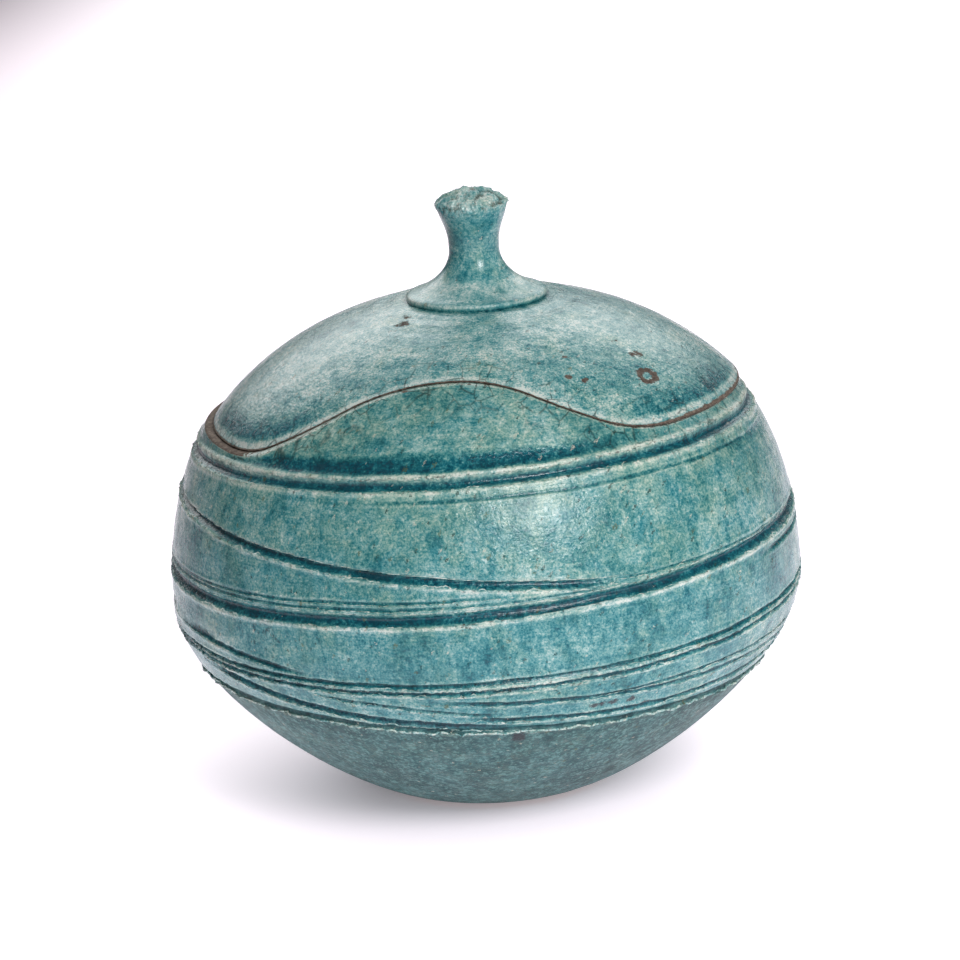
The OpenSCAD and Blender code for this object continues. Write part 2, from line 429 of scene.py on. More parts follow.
# The glaze has run over the outer edge of the cut rim, but not at the left
unglazed_left = 1 - soft_step(*BARE_LEFT_SPAN, np.abs(azimuth - BARE_LEFT_AT))
seam_bare = SEAM_BARE_LEAST + (1 - SEAM_BARE_LEAST) * unglazed_left
seam_bare = seam_bare * (1 - soft_step(*SEAM_BARE_MM, edge_distance))
on_edge = ((row >= wall_end) & (row <= wall_end + len(edge_rings)))[:, None]
rim_bare = np.where(on_edge, RIM_BARE_LEAST + (1 - RIM_BARE_LEAST) * unglazed_left, 1.0)
satin_line = SATIN_H + SATIN_RISE * np.sin(np.radians(azimuth)) + SATIN_TILT * np.cos(np.radians(azimuth))

# Stains of metal and chipped places: x, y, z, half length and half height
STAINS = [
    (7.6, -96.0, 44.0, 2.6, 3.0),
    (33.1, -97.9, 53.8, 1.4, 0.9),
    (35.8, -97.1, 54.0, 1.4, 0.9),
    (39.9, -95.5, 54.0, 1.8, 1.1),
    (45.6, -92.7, 53.8, 1.8, 1.1),
    (50.3, -88.2, 51.0, 1.4, 0.9),
]
FAINT_STAIN = (-75.7, -79.3, 81.0, 10.0, 7.0)
JAR_CHIPS = [
    (-8.3, -109.2, 82.5, 1.3, 0.9),
    (-53.7, -95.2, 85.1, 0.9, 0.6),
    (-8.7, -108.8, 87.2, 0.8, 0.5),
]

jar = skin_mesh("glazed_jar", jar_rings, FOOT_HOLLOW, inner[0, 1], {
    "skin": on_wall * soft_step(*SKIN_FROM_CUT, edge_distance) * soft_step(*SKIN_FROM_FOOT, height),
    "stretch": stretch,
    "bare": np.where(on_wall, np.maximum(foot_bare, seam_bare), rim_bare),
    "edge": edge_distance,
    "satin": 1 - soft_step(*SATIN_FADE, height - satin_line),
    "stain": np.maximum(marks(jar_rings, STAINS), FAINT_SHARE * mark(jar_rings, *FAINT_STAIN)),
    "chip": marks(jar_rings, JAR_CHIPS),
    "inside": (row > wall_end + len(edge_rings) + RIM_RINGS)[:, None],
})

# %% [markdown]
# ### The lid's rings
# The lid is the same wall above the cut. It shrank and settled 2 mm to the right when it was
# fired, so its mesh is the form's own, moved by that much, and cut by the seam that stays.

# %% Rings of the lid
LID_RINGS = 96
LID_INSIDE_RINGS = 22
KNOB_BASE_R = 24.3
UNDERCUT_W = 0.9
UNDERCUT_DEPTH = 0.3
SEAT_DROP = 0.1
POLE_R = 1.0

# Radius and height of the soft rings that were turned round the knob's base
TURNED_RINGS = [(28.5, 0.2), (32.0, -0.15), (35.5, 0.2), (41.0, -0.12)]
TURNED_RING_W = 1.3

lid_edge_r, lid_edge_z = meet_seam(outer, LID_SHIFT, SEAM_GAP)
lid_mouth_r, lid_mouth_z = meet_seam(inner, LID_SHIFT, SEAM_GAP)
seat_z = float(np.interp(-KNOB_BASE_R, -outer[-SPAN_STEPS:, 0], outer[-SPAN_STEPS:, 1]))
whole_way = along(wall, CROWN_Z)

lid_edge_way = along(wall, lid_edge_z)
lid_outside = np.vstack((
    lay(wall, lid_edge_way, lid_edge_way + EDGE_BAND, EDGE_RINGS),
    lay(wall, lid_edge_way + EDGE_BAND, np.full(COLUMNS, whole_way - POLE_R), LID_RINGS),
))
dome_r = lid_outside[:, :, 0]
dome_z = lid_outside[:, :, 1]
for ring_r, ring_h in TURNED_RINGS:
    dome_z += ring_h * np.exp(-((dome_r - ring_r) / TURNED_RING_W) ** 2)
undercut = 1 - np.abs(dome_r - KNOB_BASE_R - UNDERCUT_W / 2) / UNDERCUT_W
dome_z -= UNDERCUT_DEPTH * np.clip(undercut, 0, 1)
under_knob = dome_r < KNOB_BASE_R
dome_z[under_knob] = np.minimum(dome_z[under_knob], seat_z - SEAT_DROP)
lid_edge = np.stack((lid_edge_r - INSET, lid_edge_z), axis=1)
lid_mouth = np.stack((lid_mouth_r, lid_mouth_z), axis=1)
cut_radii = lid_mouth[:, 0] + (lid_edge[:, 0] - lid_mouth[:, 0]) * across_rim
cut_rings = np.stack((cut_radii, cut_height(cut_radii, LID_SHIFT) + SEAM_GAP), axis=2)

inner_crown_way = np.full(COLUMNS, along(inner, inner[-1, 1]) - POLE_R)
lid_inside = lay(inner, along(inner, lid_mouth_z), inner_crown_way, LID_INSIDE_RINGS)
thrown = THROW_DEPTH * np.sin(2 * math.pi * lid_inside[:, :, 0] / THROW_PITCH)
lid_inside[1:, :, 1] += thrown[1:]
lid_inside = lid_inside[::-1]

inner_edge_rings = corner(lid_inside[-2], lid_mouth, cut_rings[0], RIM_ROUND)
outer_edge_rings = corner(cut_rings[-1], lid_edge, lid_outside[1], RIM_ROUND)
lid_rings = np.concatenate((
    lid_inside[:-1], inner_edge_rings, cut_rings, outer_edge_rings, lid_outside[1:]
))
lid_row = np.arange(len(lid_rings))[:, None]
on_lid = lid_row > len(lid_rings) - len(lid_outside)
lid_edge_distance = np.where(on_lid, along(wall, lid_rings[:, :, 1]) - lid_edge_way, 0.0)


def around(centre, width):
    """1 at an azimuth and falling to 0 at a width to each side of it."""
    return 1 - soft_step(0.3 * width, width, np.abs(azimuth - centre))


# Places round the lid are a middle and a half width in degrees, and bands are distances from the cut
LID_BARE_W = 1.5
LID_BARE_MORE = 1.6
LID_BARE_AT = (64, 30)
LID_POOLS = [(1.0, -62, 30), (0.75, 60, 34), (0.6, 178, 60)]
LID_POOL_BAND = (3.0, 5.5, 6.0, 17.0)
THICKER_AT = (50, 42)
THICKER_BAND = (3.0, 8.0, 25.0, 52.0)
THINNER_AT = (-6, 36)
THINNER_BAND = (4.0, 9.0, 18.0, 34.0)
NEAR_KNOB_R = (KNOB_BASE_R, KNOB_BASE_R + 1.3)
# Next to the knob the lid is darker: glaze pooled in the joint, and painted shade under the knob's edge
POOL_AND_SHADE_AT_KNOB = 0.6
POOL_AT_RIGHT = 0.2
PALE_AT_CUT = 0.5
PALE_AT_FRONT = 0.16

# Bare clay along the cut, a cream line where the glaze drew back from it, and pools above the lows
bare_w = LID_BARE_W + LID_BARE_MORE * around(*LID_BARE_AT)
drawn_back = soft_band(lid_edge_distance, bare_w - 0.7, bare_w, bare_w + 0.8, bare_w + 2.2)
lid_pool = np.maximum.reduce([share * around(middle, width) for share, middle, width in LID_POOLS])
lid_pool = lid_pool * soft_band(lid_edge_distance, *LID_POOL_BAND)
thicker_right = around(*THICKER_AT) * soft_band(lid_edge_distance, *THICKER_BAND)
thinner_front = around(*THINNER_AT) * soft_band(lid_edge_distance, *THINNER_BAND)
near_knob = 1 - soft_step(*NEAR_KNOB_R, lid_rings[:, :, 0])

# Places where the glaze flaked off the lid: x, y, z, half length and half height
LID_CHIPS = [
    (-25.3, -20.7, 171.1, 2.3, 0.4),
    (-25.6, -26.2, 170.2, 1.9, 0.8),
    (-28.4, -26.8, 169.7, 1.6, 0.4),
    (-28.0, -37.3, 167.3, 1.0, 0.4),
    (51.2, -39.1, 158.0, 3.0, 1.1),
    (40.3, -32.1, 164.4, 1.1, 0.4),
    (48.1, -24.1, 163.3, 1.0, 0.4),
    (45.2, -35.0, 161.9, 1.3, 0.5),
    (27.7, -51.9, 161.4, 1.2, 0.5),
    (28.6, -61.0, 156.7, 1.4, 0.7),
    (33.7, -60.9, 155.2, 1.6, 0.8),
]

# One flake left a ring round a piece of glaze that held, and the ring is broken at one place
FLAKE = (54.6, -48.7, 152.4, 4.6, 2.5)
FLAKE_BREAK = (50.8, -50.5, 152.6, 1.6, 1.0)
FLAKE_RING_AT = 0.8
off_flake = 2 - 2 * mark(lid_rings, *FLAKE)
flaked_ring = np.clip(0.95 - 1.5 * np.abs(off_flake - FLAKE_RING_AT), 0, 1)
flaked_ring -= 0.8 * mark(lid_rings, *FLAKE_BREAK)
lid = skin_mesh("glazed_lid", lid_rings, inner[-1, 1], seat_z - SEAT_DROP, {
    "skin": on_lid * soft_step(*SKIN_FROM_CUT, lid_edge_distance) * (1 - near_knob),
    "bare": np.where(on_lid, 1 - soft_step(0.4, bare_w, lid_edge_distance), 1.0),
    "edge": lid_edge_distance,
    "inside": lid_row < LID_INSIDE_RINGS,
    # The pool beside the knob is partly pooled glaze and partly painted shade under the knob's edge
    "pool": np.maximum.reduce([lid_pool, POOL_AND_SHADE_AT_KNOB * near_knob * on_lid, POOL_AT_RIGHT * thicker_right]),
    "pale": np.maximum(PALE_AT_CUT * drawn_back, PALE_AT_FRONT * thinner_front),
    "chip": np.maximum(marks(lid_rings, LID_CHIPS), flaked_ring),
})

# %% [markdown]
# ### The knob's rings
# The knob was thrown by itself on the crown: a low base with an upright edge, a waisted neck
# and a flared top that was left torn where the wire came through. The outline is three curves.

# %% Rings of the knob
KNOB_EDGE_H = 2.0
KNOB_NECK_R = 8.7
KNOB_NECK_H = 17.0
KNOB_TOP_R = 12.9
KNOB_TOP_H = 33.0
KNOB_CROWN_H = 5.9
KNOB_STEPS = 44
KNOB_SINK = 0.3
FAR_FROM_EDGE = 20.0
COVE_HANDLES = (0.55, 0.48)
FLARE_HANDLES = (0.48, 0.42)
CAP_HANDLES = (0.3, 0.48)
COVE_STEEPNESS = 2.1

# The knob's foot and the rounding of its edge, as steps out and up from the base
FOOT_STEPS = [(-3.0, -KNOB_SINK), (-0.5, -KNOB_SINK), (-0.1, 0.1)]
SIDE_STEPS = [(0.0, -0.6), (-0.15, -0.15)]

# Heights above the seat between which each fact about the knob changes, and how strong it is
KNOB_SKIN_H = (0.6, 4.0)
TORN_H = (KNOB_TOP_H - 4.5, KNOB_TOP_H + 0.5)
TOP_PALE_H = (KNOB_TOP_H - 4, KNOB_TOP_H + 1)
TOP_PALE = 0.55
EDGE_PALE_H = (0.5, 0.9, 1.9, 2.4)
EDGE_PALE = 0.7
# The cove is paler: thin glaze, and painted light where it faces up towards the lamps
COVE_PALE_AND_SHEEN_H = (2.0, 3.0, 6.0, 10.0)
COVE_PALE_AND_SHEEN = 0.55
# The knob's foot is darker: glaze pooled in the joint, and painted shade under the knob's edge
KNOB_POOL_AND_SHADE_H = (0.2, 0.6)
KNOB_POOL_AND_SHADE = 0.4

knob_edge = np.array((KNOB_BASE_R, KNOB_EDGE_H))
knob_neck = np.array((KNOB_NECK_R, KNOB_NECK_H))
knob_top = np.array((KNOB_TOP_R - INSET, KNOB_TOP_H - INSET))
knob_tip = np.array((0.0, KNOB_TOP_H + KNOB_CROWN_H - INSET))
base_out = KNOB_BASE_R - KNOB_NECK_R
top_up = KNOB_TOP_H - KNOB_NECK_H
cove = (
    knob_edge,
    knob_edge + COVE_HANDLES[0] * np.array((-base_out, COVE_STEEPNESS * KNOB_EDGE_H)),
    knob_neck - (0, COVE_HANDLES[1] * (KNOB_NECK_H - KNOB_EDGE_H)),
    knob_neck,
)
flare = (
    knob_neck,
    knob_neck + (0, FLARE_HANDLES[0] * top_up),
    knob_top - FLARE_HANDLES[1] * np.array((KNOB_TOP_R - KNOB_NECK_R, top_up)),
    knob_top,
)
cap = (
    knob_top,
    knob_top + (0, CAP_HANDLES[0] * KNOB_CROWN_H),
    knob_tip + (CAP_HANDLES[1] * KNOB_TOP_R, 0),
    knob_tip,
)
knob_foot = np.array(FOOT_STEPS) + (KNOB_BASE_R, 0)
knob_side = np.array(SIDE_STEPS) + (KNOB_BASE_R, KNOB_EDGE_H)
knob_curve = joined(
    span_points(cove, KNOB_STEPS),
    span_points(flare, KNOB_STEPS),
    span_points(cap, KNOB_STEPS // 2),
)
knob_line = np.vstack((knob_foot, knob_side, knob_curve[2:-1])) + (0, seat_z)
knob_rings = knob_line[:, None, :].repeat(COLUMNS, axis=1)
above_seat = knob_rings[:, :, 1] - seat_z
knob = skin_mesh("glazed_knob", knob_rings, seat_z - KNOB_SINK, seat_z + knob_tip[1], {
    "skin": soft_step(*KNOB_SKIN_H, above_seat),
    "edge": np.full_like(above_seat, FAR_FROM_EDGE),
    "torn": soft_step(*TORN_H, above_seat),
    "pale": TOP_PALE * soft_step(*TOP_PALE_H, above_seat)
    + EDGE_PALE * soft_band(above_seat, *EDGE_PALE_H)
    # Thin glaze and painted light pale the upward-facing cove
    + COVE_PALE_AND_SHEEN * soft_band(above_seat, *COVE_PALE_AND_SHEEN_H),
    # Pooled glaze and painted shade darken the knob's foot where it meets the lid
    "pool": KNOB_POOL_AND_SHADE * (1 - soft_step(*KNOB_POOL_AND_SHADE_H, above_seat)),
})

# %% [markdown]
# ### The strip inside the lid
# A strip of soft clay was pressed round the inside of the lid's edge, so that it hangs into
# the jar and keeps the lid from sliding off. It is bare, and its edges are smoothed by a
# wet finger, so its ring of sections has rounded corners.

# %% Rings of the strip
STRIP_T = 4.0
STRIP_DROP = 8.0
STRIP_CLEAR = 0.6
STRIP_TOP_GAP = 0.15
STRIP_ROUND = 0.8
STRIP_FLANK = 4.0

strip_out_r = mouth_r - LID_SHIFT - STRIP_CLEAR
strip_in_r = strip_out_r - STRIP_T


def lid_ceiling(radius):
    """Height of the lid's inner face above a radius."""
    return np.interp(-radius, -inner[SPAN_STEPS:, 0], inner[SPAN_STEPS:, 1]) - STRIP_TOP_GAP


strip_middle_r = (strip_in_r + strip_out_r) / 2
strip_rings = []
for radius, lift in (
    (strip_in_r, STRIP_FLANK),
    (strip_in_r, STRIP_ROUND),
    (strip_in_r + STRIP_ROUND, 0.0),
    (strip_middle_r, 0.0),
    (strip_out_r - STRIP_ROUND, 0.0),
    (strip_out_r, STRIP_ROUND),
    (strip_out_r, STRIP_FLANK),
):
    strip_rings.append((radius, cut_height(radius, LID_SHIFT) - STRIP_DROP + lift))
for radius in (strip_out_r, strip_middle_r, strip_in_r):
    strip_rings.append((radius, lid_ceiling(radius)))
strip_rings = np.array(strip_rings).transpose(0, 2, 1)

# The ring of sections is a closed tube: its last ring is joined to its first
index = np.arange(len(strip_rings) * COLUMNS).reshape(-1, COLUMNS)
ahead = np.roll(index, -1, axis=1)
above = np.roll(index, -1, axis=0)
tube = np.stack((index, ahead, np.roll(ahead, -1, axis=0), above), axis=2).reshape(-1, 4)
strip = new_piece("clay_strip", ring_points(strip_rings), tube.tolist())
for piece in (lid, knob, strip):
    piece.data.transform(Matrix.Translation((LID_SHIFT * MM, 0, 0)))
print("strip", round(float(strip_out_r.min()), 1), "to", round(float(strip_out_r.max()), 1), "mm in radius")

# %% [markdown]
# ## Carved lines in Geometry Nodes
# The lines were cut into leather-hard clay with a loop tool while the pot turned. Each cut has
# a steep upper wall, a hollow where glaze pools, and a lip of pushed-up, groggy clay that
# tears. They could be sculpted, but they all follow one rule: how far a point lies above or
# below the line, measured along the wall. So one node group holds the rule, and the tree has
# one copy of the group for each line, with that line's sizes.

# %% A helper that adds nodes
def linear(hex_colour):
    """An sRGB hex value as linear red, green, blue and alpha."""
    parts = [int(hex_colour[i:i + 2], 16) / 255 for i in (1, 3, 5)]
    return [p / 12.92 if p <= 0.04045 else ((p + 0.055) / 1.055) ** 2.4 for p in parts] + [1.0]


def add(tree, kind, *values, stops=(), **settings):
    """Add a node. A kind in capitals is the operation of a Math node.

    Values feed the node's open inputs in order, and names with a capital feed the inputs they
    name. A node that is given as a value stands for its first output. Other names are settings.
    """
    if kind.isupper():
        settings["operation"] = kind
        kind = "Math"
    node = tree.nodes.new(kind if kind.startswith(("Geometry", "NodeGroup")) else "ShaderNode" + kind)
    named = {name: settings.pop(name) for name in list(settings) if name[0].isupper()}
    for name, value in settings.items():
        setattr(node, name, value)
    if stops:
        for _ in stops[2:]:
            node.color_ramp.elements.new(0.5)
        for element, (position, colour) in zip(node.color_ramp.elements, stops):
            element.position = position
            element.color = linear(colour)
    feeds = list(zip([socket for socket in node.inputs if socket.enabled], values))
    feeds += [(node.inputs[name.replace("_", " ")], value) for name, value in named.items()]
    for socket, value in feeds:
        if isinstance(value, bpy.types.Node):
            value = next(output for output in value.outputs if output.enabled)
        if isinstance(value, bpy.types.NodeSocket):
            tree.links.new(value, socket)
        else:
            socket.default_value = value
    return node


SOCKET_KINDS = {float: "Float", int: "Int", bool: "Bool"}


def new_tree(name, inputs, outputs):
    """A geometry tree with named sockets, each given by its first value or by its kind."""
    tree = bpy.data.node_groups.new(name, "GeometryNodeTree")
    for in_out, sockets in (("INPUT", inputs), ("OUTPUT", outputs)):
        for label, value in sockets.items():
            kind = SOCKET_KINDS.get(type(value), value)
            socket = tree.interface.new_socket(label, in_out=in_out, socket_type="NodeSocket" + kind)
            if kind != value:
                socket.default_value = value
    return tree


def place_in_mm(tree):
    """The place of each point in millimetres."""
    place = add(tree, "GeometryNodeInputPosition")
    return add(tree, "VectorMath", place, 1 / MM, operation="SCALE")


def swing(tree, place, scale, amount, middle=0.5, **noise):
    """A noise that swings round zero, times an amount."""
    cloud = add(tree, "TexNoise", Vector=place, Scale=scale, noise_dimensions="4D", **noise)
    centred = add(tree, "SUBTRACT", cloud, middle)
    return add(tree, "MULTIPLY", centred, amount)


def close_tree(tree, geometry, finish):
    """End a tree with real geometry in its finish."""
    whole = add(tree, "GeometryNodeRealizeInstances", Geometry=geometry)
    finished = add(tree, "GeometryNodeSetMaterial", Geometry=whole, Material=finish)
    add(tree, "NodeGroupOutput", Geometry=finished)
    print(tree.name, "has", len(tree.nodes), "nodes")


# %% One carved line
LINE_SIZES = {
    "Height": 90.0,
    "Rise": 0.0,
    "Tilt": 0.0,
    "Start": -180.0,
    "Length": 360.0,
    "Fade": 12.0,
    "Width": 3.0,
    "Depth": 1.2,
    "Upper Share": 0.35,
    "Upper Lip": 0.3,
    "Lower Lip": 0.4,
    "Lip Width": 1.4,
    "Rag": 0.5,
    "Wander": 0.3,
    "Pool": 0.8,
}

WHOLE_TURN = 359.5
LINE_RESULTS = ("Cut", "Lip", "Pool", "Pale", "Shade")
WANDER_MM = 22.0
WANDER_GAIN = 4.0
RAG_MM = 3.6
RAG_GAIN = 1.6
TEAR_GAIN = 7.0

# Parts of the cut's half width: its flat bottom, the pool on each side and the overhanging edge
FLAT_PART = 0.25
POOL_ABOVE = (0.85, 0.25)
POOL_BELOW = (1.3, 0.45)
OVERHANG_AT = 0.95
OVERHANG_REACH = (0.35, 0.05)
# Parts of the lip's width, and how much a thin lip and a deep cut count
LIP_CREST = 0.45
LIP_FOOT = 0.75
THIN_GAIN = 1.6
DEEP_MM = 1.6


def line_height(tree, degrees, sizes):
    """Sine and cosine of an azimuth and the height of a line there, before it wanders."""
    turned = add(tree, "RADIANS", degrees)
    sine = add(tree, "SINE", turned)
    cosine = add(tree, "COSINE", turned)
    risen = add(tree, "MULTIPLY_ADD", sine, sizes["Rise"], sizes["Height"])
    return sine, cosine, add(tree, "MULTIPLY_ADD", cosine, sizes["Tilt"], risen)


def wandered(tree, place, straight, seed, sizes):
    """The height of a line after the slow wander of the tool."""
    wander = swing(tree, place, 1 / WANDER_MM, sizes["Wander"], W=seed, Detail=1.0)
    return add(tree, "MULTIPLY_ADD", wander, WANDER_GAIN, straight)


line_group = new_tree(
    "carved line",
    {"Azimuth": 0.0, "Level": 0.0, "Stretch": 1.0, "Seed": 0.0} | LINE_SIZES,
    dict.fromkeys(LINE_RESULTS, "Float"),
)
t = line_group
sizes = add(t, "NodeGroupInput").outputs
place = place_in_mm(t)
_, _, tilted = line_height(t, sizes["Azimuth"], sizes)

# The tool wanders slowly, and the torn clay is ragged over a few millimetres
middle = wandered(t, place, tilted, sizes["Seed"], sizes)
rag = swing(t, place, 1 / RAG_MM, sizes["Rag"], W=sizes["Seed"], Detail=4.0, Roughness=0.7)

# Distance up the wall from the line
above = add(t, "SUBTRACT", sizes["Level"], middle)
straight = add(t, "MULTIPLY", above, sizes["Stretch"])
distance = add(t, "MULTIPLY_ADD", rag, RAG_GAIN, straight)

# How much of the line there is at this azimuth
from_start = add(t, "SUBTRACT", sizes["Azimuth"], sizes["Start"])
past_start = add(t, "FLOORED_MODULO", from_start, 360.0)
to_end = add(t, "SUBTRACT", sizes["Length"], past_start)
nearest_end = add(t, "MINIMUM", past_start, to_end)
run_in = add(t, "MapRange", nearest_end, 0.0, sizes["Fade"], interpolation_type="SMOOTHSTEP")
is_ring = add(t, "GREATER_THAN", sizes["Length"], WHOLE_TURN)
present = add(t, "MAXIMUM", run_in, is_ring)

# The cut: a flat-bottomed V with a short upper wall and a long lower one
upper = add(t, "MULTIPLY", sizes["Width"], sizes["Upper Share"])
lower = add(t, "SUBTRACT", sizes["Width"], upper)
up_share = add(t, "DIVIDE", distance, upper)
negative = add(t, "MULTIPLY", distance, -1.0)
down_share = add(t, "DIVIDE", negative, lower)
off_share = add(t, "MAXIMUM", up_share, down_share)
wedge = add(t, "MapRange", off_share, 1.0, FLAT_PART)
deep = add(t, "MULTIPLY", wedge, sizes["Depth"])
cut = add(t, "MULTIPLY", deep, present)

# Pushed-up clay beyond each side of the cut
lip_parts = []
pale_parts = []
for half, edge, side_lip in ((upper, distance, "Upper Lip"), (lower, negative, "Lower Lip")):
    centre = add(t, "MULTIPLY_ADD", sizes["Lip Width"], LIP_CREST, half)
    off = add(t, "SUBTRACT", edge, centre)
    off_lip = add(t, "DIVIDE", off, sizes["Lip Width"])
    size = add(t, "ABSOLUTE", off_lip)
    bump = add(t, "MapRange", size, LIP_FOOT, 0.0, interpolation_type="SMOOTHSTEP")
    torn = add(t, "MULTIPLY_ADD", rag, TEAR_GAIN, 1.0)
    held = add(t, "MAXIMUM", torn, 0.0)
    tall = add(t, "MULTIPLY", bump, held)
    lip_parts.append(add(t, "MULTIPLY", tall, sizes[side_lip]))
    thin = add(t, "MULTIPLY", sizes[side_lip], THIN_GAIN)
    pale_parts.append(add(t, "MULTIPLY", bump, thin))
both = add(t, "ADD", *lip_parts)
lip = add(t, "MULTIPLY", both, present)
pale_both = add(t, "ADD", *pale_parts)
pale = add(t, "MULTIPLY", pale_both, present, use_clamp=True)

# Glaze runs off the lips and into the hollow
pool_up = add(t, "MapRange", up_share, *POOL_ABOVE, interpolation_type="SMOOTHSTEP")
pool_down = add(t, "MapRange", down_share, *POOL_BELOW, interpolation_type="SMOOTHSTEP")
wide = add(t, "MULTIPLY", pool_up, pool_down)
pooled = add(t, "MULTIPLY", wide, sizes["Pool"])
pool = add(t, "MULTIPLY", pooled, present)

# The steep upper side overhangs a little, and no glaze or light gets in under its edge
under_edge = add(t, "SUBTRACT", up_share, OVERHANG_AT)
from_edge = add(t, "ABSOLUTE", under_edge)
overhang = add(t, "MapRange", from_edge, *OVERHANG_REACH)
deep_share = add(t, "DIVIDE", sizes["Depth"], DEEP_MM, use_clamp=True)
deep_shade = add(t, "MULTIPLY", overhang, deep_share)
shade = add(t, "MULTIPLY", deep_shade, present)
add(t, "NodeGroupOutput", Cut=cut, Lip=lip, Pool=pool, Pale=pale, Shade=shade)
print("carved line group has", len(t.nodes), "nodes")

# %% [markdown]
# ### The lines on this jar
# Heights are read at the front of the jar in millimetres above the foot. Rise is how much
# higher a line is at the right, and Tilt how much higher at the front than at the sides.
# The rings go all the way round; the others start and end on another line.

# %% Table of lines
LINES = {
    "shoulder line": dict(Height=129.3, Rise=3.2, Tilt=2.6, Width=3.9, Depth=1.3, Pool=0.95)
    | {"Upper Share": 0.5, "Upper Lip": 0.5, "Lower Lip": 0.35, "Lip Width": 2.2, "Rag": 0.35},
    "hollow above it": dict(Height=135.0, Rise=3.0, Tilt=2.4, Start=-75, Length=120, Fade=35, Width=7.5)
    | {"Depth": 0.6, "Upper Share": 0.6, "Upper Lip": 0.0, "Lower Lip": 0.0, "Pool": 1.0, "Rag": 0.2},
    "shoulder scratch": dict(Height=124.6, Rise=2.4, Tilt=2.2, Start=-30, Length=130, Fade=20, Width=1.3)
    | {"Depth": 0.4, "Upper Lip": 0.15, "Lower Lip": 0.2, "Lip Width": 1.0, "Pool": 0.55, "Rag": 0.3},
    "long diagonal": dict(Height=104.9, Rise=-8.8, Tilt=-4.3, Start=-262, Length=290, Fade=14, Width=3.1)
    | {"Depth": 1.6, "Upper Share": 0.22, "Upper Lip": 0.15, "Lower Lip": 0.5, "Rag": 0.75, "Pool": 0.9},
    "belly line": dict(Height=92.4, Rise=5.7, Tilt=-2.1, Width=4.2, Depth=1.4, Pool=0.9)
    | {"Upper Share": 0.45, "Upper Lip": 0.2, "Lower Lip": 0.6, "Lip Width": 1.7, "Rag": 0.5},
    "upper belly scratch": dict(Height=94.6, Rise=4.4, Tilt=1.4, Start=-110, Length=115, Fade=14, Width=1.2)
    | {"Depth": 0.45, "Upper Lip": 0.25, "Lower Lip": 0.25, "Lip Width": 0.8, "Pool": 0.6, "Rag": 0.35},
    "lower belly scratch": dict(Height=94.0, Rise=4.3, Tilt=-0.3, Start=-95, Length=125, Fade=14, Width=1.2)
    | {"Depth": 0.45, "Upper Lip": 0.25, "Lower Lip": 0.25, "Lip Width": 0.8, "Pool": 0.6, "Rag": 0.35},
    "right belly scratch": dict(Height=96.9, Rise=2.8, Tilt=-1.0, Start=22, Length=110, Fade=12, Width=1.1)
    | {"Depth": 0.5, "Upper Lip": 0.2, "Lower Lip": 0.25, "Lip Width": 0.8, "Pool": 0.6, "Rag": 0.6},
    "far belly scratch": dict(Height=85.5, Rise=6.0, Tilt=0.0, Start=58, Length=150, Fade=10, Width=1.8)
    | {"Depth": 0.7, "Upper Lip": 0.3, "Lower Lip": 0.3, "Lip Width": 1.2, "Pool": 0.7, "Rag": 0.5},
    "short diagonal": dict(Height=63.3, Rise=-11.9, Tilt=-2.4, Start=-100, Length=68, Fade=10, Width=2.0)
    | {"Depth": 0.9, "Upper Share": 0.3, "Upper Lip": 0.2, "Lower Lip": 0.4, "Pool": 0.8, "Rag": 0.6},
    "waist line": dict(Height=71.4, Rise=3.2, Tilt=-4.3, Width=1.8, Depth=1.0, Pool=0.7)
    | {"Upper Share": 0.3, "Upper Lip": 0.25, "Lower Lip": 0.45, "Lip Width": 1.3, "Rag": 0.6},
    "crinkled line": dict(Height=69.4, Rise=2.8, Tilt=-5.5, Start=-105, Length=215, Width=1.8, Depth=0.8)
    | {"Upper Share": 0.5, "Upper Lip": 0.5, "Lower Lip": 0.5, "Lip Width": 1.1, "Rag": 0.9, "Pool": 0.8},
    "split": dict(Height=54.2, Rise=-11.7, Tilt=0.0, Start=-34, Length=36, Fade=6, Width=1.2)
    | {"Depth": 0.9, "Upper Share": 0.5, "Upper Lip": 0.2, "Lower Lip": 0.2, "Pool": 0.7, "Rag": 0.7},
    "deep diagonal": dict(Height=63.8, Rise=-6.1, Tilt=-14.3, Start=-66, Length=74, Fade=12, Width=3.2)
    | {"Depth": 1.5, "Upper Share": 0.3, "Upper Lip": 0.2, "Lower Lip": 0.4, "Pool": 0.95, "Rag": 0.6},
    "upper right cut": dict(Height=61.4, Rise=-4.3, Tilt=-2.2, Start=-14, Length=250, Fade=12, Width=1.8)
    | {"Depth": 0.8, "Upper Lip": 0.3, "Lower Lip": 0.35, "Lip Width": 1.1, "Pool": 0.8, "Rag": 0.6},
    "right scratch": dict(Height=57.3, Rise=3.6, Tilt=-0.7, Start=12, Length=130, Fade=10, Width=1.4)
    | {"Depth": 0.6, "Upper Lip": 0.3, "Lower Lip": 0.3, "Lip Width": 0.9, "Pool": 0.7, "Rag": 0.6},
    "lower right cut": dict(Height=62.5, Rise=-7.1, Tilt=-9.9, Start=-8, Length=200, Fade=12, Width=2.1)
    | {"Depth": 1.1, "Upper Share": 0.3, "Upper Lip": 0.25, "Lower Lip": 0.45, "Pool": 0.85, "Rag": 0.6},
    "ragged lowest line": dict(Height=49.8, Rise=-3.7, Tilt=-2.4, Width=2.6, Depth=0.9, Pool=0.6)
    | {"Upper Share": 0.7, "Upper Lip": 0.1, "Lower Lip": 0.7, "Lip Width": 1.5, "Rag": 0.9},
}
print(len(LINES), "carved lines and scratches")

# %% The tree that carves them
SEED_STEP = 7.3
LIP_CUT_MM = 0.7

